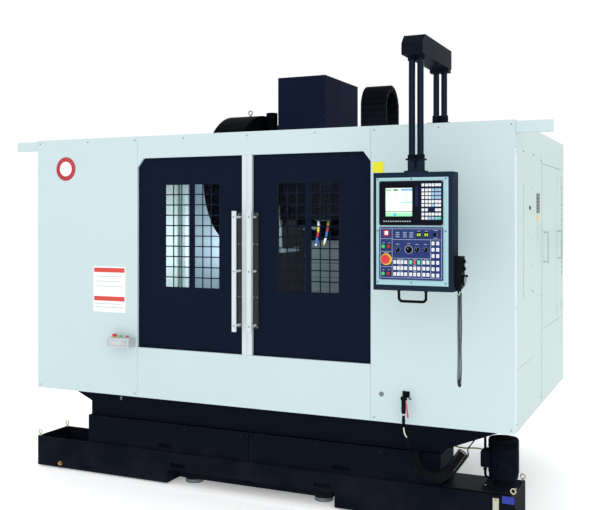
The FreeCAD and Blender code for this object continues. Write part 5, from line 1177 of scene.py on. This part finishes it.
# ---------------------------------------------------------------- pendant
@dataclass
class Pendant:
    """Screen, keypad, operator panel, knobs, marks and trims of the swinging pendant."""

    body: str = "pendant_body"
    face: float = -566
    knobs: Tuple[Tuple[str, float, float, float], ...] = (
        ("mode_knob", 1373, 1900, 19), ("feed_knob", 1446, 1900, 21), ("rapid_knob", 1500, 1900, 17),
        ("spindle_knob", 1555, 1900, 17))

    def build(self) -> None:
        """Makes all of the pendant's details."""
        self.display()
        self.keypad()
        self.operator_keys()
        self.panel_lines()
        self.dress_knobs()
        self.buttons()
        self.trim()

    def keys(self, size: Tuple[float, float], spots: Sequence[Tuple[float, float]], tall: float = 3.0) -> Thing:
        """Keys of one size, each with rounded edges and a dished top."""
        wide, high = size[0] / 2, size[1] / 2
        y = self.face
        key = Bench.block((-wide, wide), (y - tall, y + 0.4), (-high, high), 1.2, 2)
        Bench.push(key, Facing.FRONT, 1.4, -0.5)
        return Bench.spread(key, [(x, 0, z) for x, z in spots])

    def display(self) -> None:
        """The lit screen with its plain cells and bars, its frame, and the soft keys under it."""
        y = self.face + 5.2
        x0, x1, z0, z1 = 1291, 1468, 2109, 2289
        screen = Bench.block((x0, x1), (y, y + 0.6), (z0, z1), 0.2, 1)
        white, green, blue = srgb(236, 252, 240), srgb(188, 240, 206), srgb(90, 160, 226)
        width, height = x1 - x0, z1 - z0

        def cell(a: float, b: float, c: float, d: float, colour: Colour) -> Patch:
            """Patch over shares of the screen: left, right, bottom and top."""
            return Patch((x0 + a * width, y - 1, z0 + c * height), (x0 + b * width, y + 2, z0 + d * height), colour,
                         roughness=0.25)

        patches = [cell(0.0, 0.55, 0.9, 0.96, green), cell(0.3, 0.46, 0.9, 0.95, srgb(60, 96, 70)),
                   cell(0.58, 1.0, 0.9, 0.96, blue), cell(0.02, 0.2, 0.91, 0.94, srgb(90, 130, 104)),
                   cell(0.0, 1.0, 0.155, 0.18, srgb(66, 110, 60)), cell(0.0, 1.0, 0.0, 0.13, srgb(160, 240, 190)),
                   cell(0.3, 0.4, 0.02, 0.12, srgb(60, 190, 226)), cell(0.58, 1.0, 0.47, 0.51, srgb(130, 214, 240)),
                   cell(0.565, 0.572, 0.18, 0.9, srgb(180, 214, 196)), cell(0.3, 0.306, 0.52, 0.9, srgb(196, 224, 208))]
        for row in range(6):
            low = 0.56 + 0.055 * row
            patches.append(cell(0.05, 0.12 + 0.03 * (row % 2), low, low + 0.014, srgb(150, 190, 170)))
            patches.append(cell(0.34, 0.46 - 0.02 * (row % 3), low, low + 0.014, srgb(150, 190, 170)))
            patches.append(cell(0.68, 0.82 + 0.04 * (row % 2), low, low + 0.014, srgb(130, 176, 190)))
        for row in range(4):
            low = 0.24 + 0.06 * row
            patches.append(cell(0.05, 0.4 - 0.05 * row, low, low + 0.012, srgb(170, 200, 184)))
        look = Finish("lit_screen", white, 0.25, grain=300, relief=0.01, mottle=0.01, patches=tuple(patches), glow=0.06)
        screen.name = "screen"
        screen.data.materials.append(look.build())
        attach(screen, self.body)
        LOG.info("piece screen on %s: %s", self.body, look.name)
        soft = self.keys((9.4, 7.6), [(1283 + 15.6 * i, 2078) for i in range(12)], 2.2)
        fit(soft, "soft_keys", self.body, Look.LABEL_GREY)
        frame = Bench.block((1258, 1482), (self.face - 2.0, self.face + 0.5), (2062, 2322), 3, 3)
        Bench.push(frame, Facing.FRONT, 4, -0.6)
        hole = Bench.block((x0 - 1.5, x1 + 1.5), (self.face - 6, self.face + 9), (z0 - 1.5, z1 + 1.5), 0.3, 1)
        keys_hole = Bench.block((1271, 1464), (self.face - 6, self.face + 9), (2071, 2085), 0.3, 1)
        for cutter in (hole, keys_hole):
            Bench.cut(frame, cutter)
        fit(frame, "screen_frame", self.body, Look.SCREEN_BEZEL)
        slot = Bench.block((1488, 1508), (self.face - 3.5, self.face + 0.4), (2172, 2300), 2, 3)
        Bench.push(slot, Facing.FRONT, 3, -0.7)
        fit(slot, "card_slot_cover", self.body, Look.KEYPAD_BLUE)

    def keypad(self) -> None:
        """Data keypad at the screen's right."""
        y = self.face
        plate = Bench.block((1524, 1661), (y - 2.2, y + 0.4), (2082, 2322), 2, 3)
        Bench.push(plate, Facing.FRONT, 2, -0.4)
        fit(plate, "keypad_plate", self.body, Look.KEYPAD_BLUE)
        columns = (1539, 1562, 1583.5, 1604, 1626, 1646)
        rows = (2305, 2274, 2250, 2227, 2202, 2179, 2150, 2123, 2098)
        white, blue, green = [], [], []
        for r, z in enumerate(rows):
            for c, x in enumerate(columns):
                if r == 6 and c in (2, 3):
                    continue
                if r == 8 and c == 5:
                    green.append((x, z))
                elif (c >= 3 and r in (1, 2, 3)) or (r == 8 and c >= 2) or (r == 5 and c == 3):
                    blue.append((x, z))
                else:
                    white.append((x, z))
        for name, spots, look in (("keypad_white", white, Look.KEY_WHITE), ("keypad_blue", blue, Look.KEY_BLUE),
                                  ("keypad_green", green, Look.KEY_GREEN)):
            fit(self.keys((16.5, 17), spots, 4.6), name, self.body, look)
        dash = Bench.block((-3.6, 3.6), (y - 4.35, y - 4.0), (-0.9, 0.9), 0.1, 1)
        fit(Bench.spread(dash, [(x, 0, z + 2.5) for x, z in white + blue]), "keypad_marks", self.body, Look.LABEL_DARK)

    def operator_keys(self) -> None:
        """Lit keys, lamps, small displays and the plain badge of the operator panel."""
        rows = (1821, 1783, 1745)
        white = [(x, z) for z in rows for x in (1355, 1379, 1402, 1427, 1545, 1571)]
        white += [(x, z) for z in rows[1:] for x in (1460, 1486, 1512)]
        white += [(x, z) for z in (1941, 1902, 1863, 1821, 1781, 1742) for x in (1604, 1634)]
        fit(self.keys((17.5, 22), white, 5), "panel_keys_white", self.body, Look.KEY_WHITE)
        fit(self.keys((18, 25), [(1460, rows[0]), (1512, rows[0])], 5), "panel_keys_green", self.body, Look.KEY_GREEN)
        fit(self.keys((16, 25), [(1486, rows[0])], 5), "panel_keys_red", self.body, Look.KEY_RED)
        dash = Bench.block((-4.2, 4.2), (self.face - 4.75, self.face - 4.4), (-0.9, 0.9), 0.1, 1)
        spots = [(x, 0, z + d) for x, z in white for d in (-3, 3)]
        fit(Bench.spread(dash, spots), "panel_key_marks", self.body, Look.LABEL_DARK)
        lamps = [(x, z) for x in (1373, 1421, 1463) for z in (1981, 1994, 2007)]
        fit(self.keys((25, 8), lamps, 1.8), "lamp_rows", self.body, Look.LAMP_GREY)
        fit(Bench.join([Bench.block((x - 15, x + 15), (self.face - 1.4, self.face + 0.3), (1978, 2010), 1, 2)
                        for x in (1512, 1560)]), "digit_windows", self.body, Look.BLACK_PLASTIC)
        fit(self.keys((10, 18), [(x + d, 1994) for x in (1512, 1560) for d in (-6.5, 6.5)], 2.2), "digits", self.body,
            Look.DIGITS)
        badge = Bench.block((1280, 1318), (self.face - 2.4, self.face + 0.3), (1984, 2024), 6, 3)
        Bench.push(badge, Facing.FRONT, 3, -0.5)
        fit(badge, "panel_badge", self.body, Look.BADGE_RED)
        fit(Bench.block((1288, 1310), (self.face - 2.6, self.face - 1.7), (1992, 2016), 3, 2), "panel_badge_middle",
            self.body, Look.LABEL_WHITE)

    def panel_lines(self) -> None:
        """White dividing lines and the short bars over each group of controls."""
        y = (self.face - 0.7, self.face + 0.3)

        def across(x: Span, z: float, wide: float = 1.8) -> Thing:
            """Level line."""
            return Bench.block(x, y, (z - wide / 2, z + wide / 2), 0.2, 1)

        def upright(x: float, z: Span, wide: float = 1.8) -> Thing:
            """Upright line."""
            return Bench.block((x - wide / 2, x + wide / 2), y, z, 0.2, 1)

        x0, x1, z0, z1 = 1259, 1657, 1722, 2031
        lines = [across((x0, x1), z0), across((x0, x1), z1), upright(x0, (z0, z1)), upright(x1, (z0, z1)),
                 upright(1337, (z0, z1)), across((x0, 1337), 1968), across((x0, 1337), 1886), across((x0, 1337), 1790),
                 across((1337, x1), 1963), across((1337, 1588), 1845), upright(1588, (z0, 1963)),
                 upright(1443, (z0, 1845)), upright(1529, (z0, 1845))]
        for x, z, wide in ((1298, 1879, 30), (1281, 1941, 14), (1317, 1941, 14), (1279, 1770, 14), (1315, 1770, 14),
                           (1373, 1934, 24), (1446, 1938, 20), (1500, 1934, 20), (1555, 1934, 20), (1619, 1973, 26),
                           (1619, 2022, 26), (1391, 1838, 44), (1486, 1838, 26), (1558, 1838, 30), (1391, 1802, 30),
                           (1391, 1764, 30), (1486, 1802, 20), (1486, 1764, 24), (1512, 2017, 18), (1560, 2017, 18)):
            lines.append(across((x - wide / 2, x + wide / 2), z, 2.4))
        fit(Bench.join(lines), "panel_lines", self.body, Look.LINE_WHITE)
        ticks: List[Thing] = []
        for name, x, z, reach in self.knobs:
            tick = Bench.block((-0.7, 0.7), y, (reach - 1.5, reach + 3), 0.15, 1)
            count = 12 if name == "feed_knob" else 9
            ticks.append(Bench.copies(tick, [
                Matrix.Translation(Vector((x, 0, z)) * MM)
                @ Matrix.Rotation(math.radians(-130 + 260 * step / (count - 1)), 4, "Y") for step in range(count)]))
            if name == "feed_knob":
                ticks.append(Bench.turned([(reach + 3, 0), (reach + 3.2, 0.8), (reach + 4.8, 0.8), (reach + 5, 0)],
                                          (x, self.face, z), Facing.FRONT, sides=40))
        fit(Bench.join(ticks), "knob_ticks", self.body, Look.LINE_WHITE)

    def dress_knobs(self) -> None:
        """Skirted knobs with a white pointer in place of the plain ones, and the key in its lock."""
        y = self.face
        for name, x, z, _ in self.knobs:
            body = name + "_body"
            profile = [(12.6, 0.4), (12.8, 1), (12.6, 4.2), (9.8, 5.4), (9.2, 14.2), (8.2, 15.4), (4, 15.6)]
            knob = Bench.turned(profile, (x, y, z), Facing.FRONT, sides=20, smooth=14)
            grip = Bench.block((x - 3.1, x + 3.1), (y - 17.6, y - 4), (z - 12.4, z + 12.4), 1.4, 3)
            fit(Bench.join([knob, grip]), name + "_cap", body, Look.BLACK_PLASTIC)
            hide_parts(name)
            line = Bench.block((x - 0.8, x + 0.8), (y - 17.9, y - 17.3), (z + 1, z + 11.5), 0.2, 1)
            fit(line, name + "_line", body, Look.LINE_WHITE)
        x, z = 1619, 1995
        fit(Bench.turned([(12.5, 0.4), (13, 1), (13, 6), (11, 8.2), (6, 8.2), (5, 7)], (x, y, z), Facing.FRONT),
            "key_switch_ring", "key_switch_body", Look.CHROME)
        fit(Bench.block((x - 1.2, x + 1.2), (y - 26, y - 7), (z - 8, z + 8), 0.8, 2), "switch_key", "key_switch_body",
            Look.BLACK_METAL)

    def buttons(self) -> None:
        """Mushroom heads, bezels and the yellow ring of the buttons."""
        y = self.face
        fit(Bench.turned([(36, 0), (37, 0.6), (37, 3.4), (34, 5.2), (22, 5.2), (19, 0.1)], (1298, y, 1837),
                         Facing.FRONT, sides=48), "stop_ring", self.body, Look.YELLOW)
        stop = Bench.turned([(15, 6.2), (16, 12), (24.5, 15), (28, 19), (28, 24), (26, 29.5), (20, 32.8), (8, 33.9)],
                            (1298, y, 1837), Facing.FRONT, sides=48)
        fit(stop, "pendant_stop_head", "pendant_e_stop_body", Look.RED)
        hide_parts("pendant_e_stop")
        box_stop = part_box("box_e_stop")
        middle, top = (box_stop[0] + box_stop[1]) / 2, box_stop[1].z
        radius = (box_stop[1].x - box_stop[0].x) / 2 / MM
        spot = (middle.x / MM, (middle.y - FRONT) / MM, top / MM)
        stop = Bench.turned([(6.6, -17), (6.6, -14.2), (11, -12), (radius * 0.8, -10.4), (radius, -7), (radius, -4),
                             (radius * 0.9, -1.5),
                             (radius * 0.6, -0.2), (radius * 0.2, 0)], spot, Facing.UP, sides=40)
        fit(stop, "box_stop_head", "box_e_stop_body", Look.RED)
        bezels = [Bench.turned([(14.5, 0), (15, 0.5), (15, 2.0), (13, 3.2), (11.6, 3.2)], (x, y, z), Facing.FRONT)
                  for x, z in ((1281, 1919), (1317, 1919), (1279, 1747), (1315, 1747))]
        fit(Bench.join(bezels), "button_bezels", self.body, Look.BLACK_PLASTIC)

    def trim(self) -> None:
        """Trim screws, case seams, rear cover with its vents, and the handle's flanges."""
        spots = [(x, -560, z) for x, z in ((1239, 2344), (1462, 2344), (1682, 2344), (1239, 2017), (1682, 2017),
                                           (1239, 1692), (1462, 1692), (1682, 1692))]
        fit(screws(4.2, Facing.FRONT, 2.4, spots), "trim_screws", self.body, Look.BLACK_SCREW)
        spots = [(x, self.face, z) for x in (1255.5, 1661) for z in (1714, 1875, 2036)]
        spots += [(x, self.face, z) for x in (1254, 1662) for z in (2058, 2327)]
        fit(screws(3.6, Facing.FRONT, 2.2, spots), "unit_screws", self.body, Look.ZINC)
        fit(Bench.join([Bench.block(x, (-548, -545), (1645, 2382), 0.5, 1) for x in ((1726.6, 1728), (1208, 1209.4))]),
            "pendant_folds", self.body, Look.POST_PAINT)
        rear = (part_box("pendant_box")[1].y - FRONT) / MM
        cover = Bench.block((1240, 1684), (rear - 0.5, rear + 2), (1690, 2300), 3, 2)
        Bench.push(cover, Facing.REAR, 10, 0.8)
        fit(cover, "pendant_rear_cover", self.body, Look.POST_PAINT)
        vent = Bench.block((1380, 1540), (rear + 2.2, rear + 4.6), (1760, 1766), 1, 2)
        fit(Bench.spread(vent, [(0, 0, 16 * i) for i in range(10)]), "pendant_vents", self.body, Look.BLACK_METAL)
        fit(Bench.join([Bench.turned([(16, 0), (16, 3), (11, 5), (9.6, 12)], (x, -514, 1640), Facing.DOWN)
                        for x in (1365, 1543)]), "handle_flanges", self.body, Look.BLACK_METAL)


# ---------------------------------------------------------------- tank and pump
@dataclass
class Base:
    """Coolant pump, tank and way plate details."""

    body: str = "machine"
    pump: Tuple[float, float] = (1878, 235)
    pump_radius: float = 100
    motor_top: float = 577

    def build(self) -> None:
        """Makes the base's details."""
        self.pump_motor()
        self.tank_front()
        self.way_plates()

    @staticmethod
    def way_plates() -> None:
        """Six overlapping plates over the column's ways."""
        low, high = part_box("way_shield")
        x, back, bottom = high.x / MM, (high.y - FRONT) / MM, low.z / MM
        count, deepest, lap, head_travel = 6, 14, 1.8, 0.75
        step = (high.z - low.z) / MM / count
        plates = [Bench.block((-x, x), (back - deepest + lap * i, back), (bottom + step * i, bottom + step * (i + 1)),
                              0.6, 1)
                  for i in range(count)]
        shield = fit(Bench.join(plates), "way_plates", "machine", Look.SHIELD)
        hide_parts("way_shield")
        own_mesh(shield)

    def pump_motor(self) -> None:
        """Cooling fins, fan cowl, terminal box lid and pipes of the pump."""
        x, y = self.pump
        r = self.pump_radius
        ring = Bench.turned([(r - 2, 0), (r + 5, 2), (r + 5, 5), (r - 2, 7)], (x, y, 345), Facing.UP, sides=48)
        fit(Bench.spread(ring, [(0, 0, 15.5 * i) for i in range(11)]), "pump_fins", self.body, Look.BASE_PAINT)
        top = self.motor_top
        fit(Bench.turned([(r + 2, 0), (r + 4, 4), (r + 4, 50), (r - 4, 60), (30, 62)], (x, y, top - 61), Facing.UP,
                         sides=48), "pump_cowl", self.body, Look.BLACK_METAL)
        slot = Bench.block((x - 1.8, x + 1.8), (y + 34, y + 84), (top - 1, top + 2.2), 0.8, 1)
        fit(Bench.ring(slot, (x, y, top), "Z", 16), "pump_grille", self.body, Look.BLACK_METAL)
        lid = Bench.block((x - r - 49, x - r - 44), (y - 56, y + 56), (382, 482), 3, 2)
        Bench.push(lid, Facing.LEFT, 8, 0.8)
        fit(lid, "pump_terminal_lid", self.body, Look.BASE_PAINT)
        spots = [(x + dx, y + dy, 268) for dx in (-104, 104) for dy in (-104, 104)]
        fit(screws(8, Facing.UP, 6, spots), "pump_bolts", self.body, Look.ZINC)
        riser = Bench.pipe([(x - 70, y - 20, 300), (x - 96, y - 30, 300), (x - 118, y - 34, 312),
                            (x - 120, y - 34, 345),
                            (x - 120, y - 34, 370), (x - 120, y - 34, 560), (x - 120, y - 34, 655)], 9)
        fit(riser, "coolant_riser", self.body, Look.BASE_PAINT)
        nuts = [Bench.turned([(13, 0), (14, 2), (14, 14), (12, 16)], (x - 120, y - 34, z), Facing.UP, sides=6, smooth=5)
                for z in (352, 600)]
        fit(Bench.join(nuts), "coolant_riser_nuts", self.body, Look.BLACK_METAL)
        oil = Bench.pipe([(1436, 330, 470), (1480, 330, 468), (1530, 326, 458), (1590, 318, 456), (1650, 300, 470),
                          (1715, 280, 476), (1750, 262, 470)], 5)
        fit(oil, "oil_line", self.body, Look.OIL_LINE)

    def tank_front(self) -> None:
        """Blue plate, level glass, drain plug, screws and slot rims of the tank."""
        fit(Bench.block((1915, 1997), (-1.6, 0.2), (201, 250), 0.5, 1), "tank_plate", self.body, Look.LABEL_BLUE)
        fit(Bench.block((1866, 1884), (-13.6, -11.6), (76, 216), 2, 3), "level_glass", self.body, Look.GAUGE)
        fit(Bench.join([Bench.turned([(6, 0), (6, 2.5), (4, 3.5)], (1875, -12, z), Facing.FRONT, sides=16)
                        for z in (68, 224)]), "gauge_screws", self.body, Look.ZINC)
        fit(Bench.turned([(20, 0), (20, 4), (15, 5), (15, 18), (12, 20)], (-1760, 0, 46), Facing.FRONT, sides=6,
                         smooth=5), "drain_plug", self.body, Look.BRASS)
        spots = [(side * x, 25, 440) for side in (-1, 1) for x in (60, 560, 1060, 1440)]
        fit(screws(7, Facing.FRONT, 5, spots), "tray_screws", self.body, Look.BLACK_SCREW)
        lips = []
        for centre in (-748, 748):
            lips.append(Bench.block((centre - 76, centre + 76), (22.4, 25.2), (268, 314), 3, 2))
            Bench.cut(lips[-1], Bench.block((centre - 68, centre + 68), (10, 30), (275.5, 306.5), 1, 1))
        fit(Bench.join(lips), "tray_slot_rims", self.body, Look.BASE_PAINT)


# ---------------------------------------------------------------- studio
@dataclass
class Studio:
    """Camera, floor, sky and soft lights."""

    place: Spot = (3.114, -6.9996, 2.105)
    azimuth: float = 24.4
    lens: float = 53.07
    shift: float = -0.0634

    def build(self) -> None:
        """Sets the stage."""
        bpy.context.scene.view_settings.view_transform = "Standard"
        data = bpy.data.cameras.new("camera")
        data.lens, data.sensor_width = self.lens, 36.0
        data.shift_y = self.shift
        data.clip_end = 200
        camera = bpy.data.objects.new("camera", data)
        camera.location = self.place
        camera.rotation_euler = (math.pi / 2, 0, math.radians(self.azimuth))
        bpy.context.collection.objects.link(camera)
        bpy.context.scene.camera = camera
        self.floor()
        self.sky()
        self.light("key", (5.0, -9.0, 5.0), (0.6, -0.6, 1.4), 8.0, 140)
        self.light("right", (6.0, -5.5, 3.0), (2.0, -0.9, 1.4), 3.0, 7)
        self.light("rear", (0.0, 8.0, 6.0), (0, 0.5, 1.5), 6.0, 110)
        self.light("inside_left", (-0.95, -0.72, 2.2), (-2.0, -0.25, 1.7), 0.45, 15, (1.0, 0.93, 0.98))
        self.light("inside_corner", (-1.3, 0.98, 1.8), (-2.0, 0.85, 1.8), 0.3, 8, (1.0, 0.93, 0.98))
        self.light("inside_right", (0.75, -0.7, 2.4), (1.2, 0.9, 1.3), 0.5, 26, (0.9, 0.98, 1.12))

    @staticmethod
    def floor() -> None:
        """Pale floor with a faint mottle."""
        Bench.start()
        bpy.ops.mesh.primitive_circle_add(vertices=96, radius=60, fill_type="NGON", location=(0, 0, -0.0005))
        floor = bpy.context.object
        floor.name = "studio_floor"
        look = Finish("studio_floor", (0.93, 0.935, 0.94), 0.8, specular=0.1, grain=2, relief=0.0, mottle=0.004,
                      glow=0.31)
        floor.data.materials.append(look.build())

    @staticmethod
    def sky() -> None:
        """Even white surroundings."""
        world = bpy.data.worlds.new("studio_white")
        world.use_nodes = True
        sheet = NodeSheet(world.node_tree)
        glow = sheet.add("Background", {"Color": (1.0, 1.0, 1.0, 1.0), "Strength": 1.0})
        sheet.add("OutputWorld", {"Surface": glow.outputs[0]})
        bpy.context.scene.world = world

    @staticmethod
    def light(name: str, place: Spot, aim: Spot, size: float, power: float, tint: Colour = (1.0, 1.0, 1.0)) -> None:
        """Square soft light of one tint looking at a point, all in metres."""
        data = bpy.data.lights.new(name, "AREA")
        data.shape, data.size, data.energy, data.color = "SQUARE", size, power, tint
        lamp = bpy.data.objects.new(name, data)
        lamp.location = place
        lamp.rotation_euler = (Vector(aim) - Vector(place)).to_track_quat("-Z", "Y").to_euler()
        bpy.context.collection.objects.link(lamp)


def main() -> None:
    """Builds the whole look, sub-assembly by sub-assembly."""
    dress_nodes()
    parts = [Studio(), AirLine(), JogUnit(), Enclosure(), FrontDoor(-1, "door_left_body"),
             FrontDoor(1, "door_right_body"),
             Upperworks(), Pendant(), Base()]
    for part in parts:
        LOG.info("building %s", type(part).__name__)
        part.build()
    Bench.start()


if __name__ == "__main__":
    main()
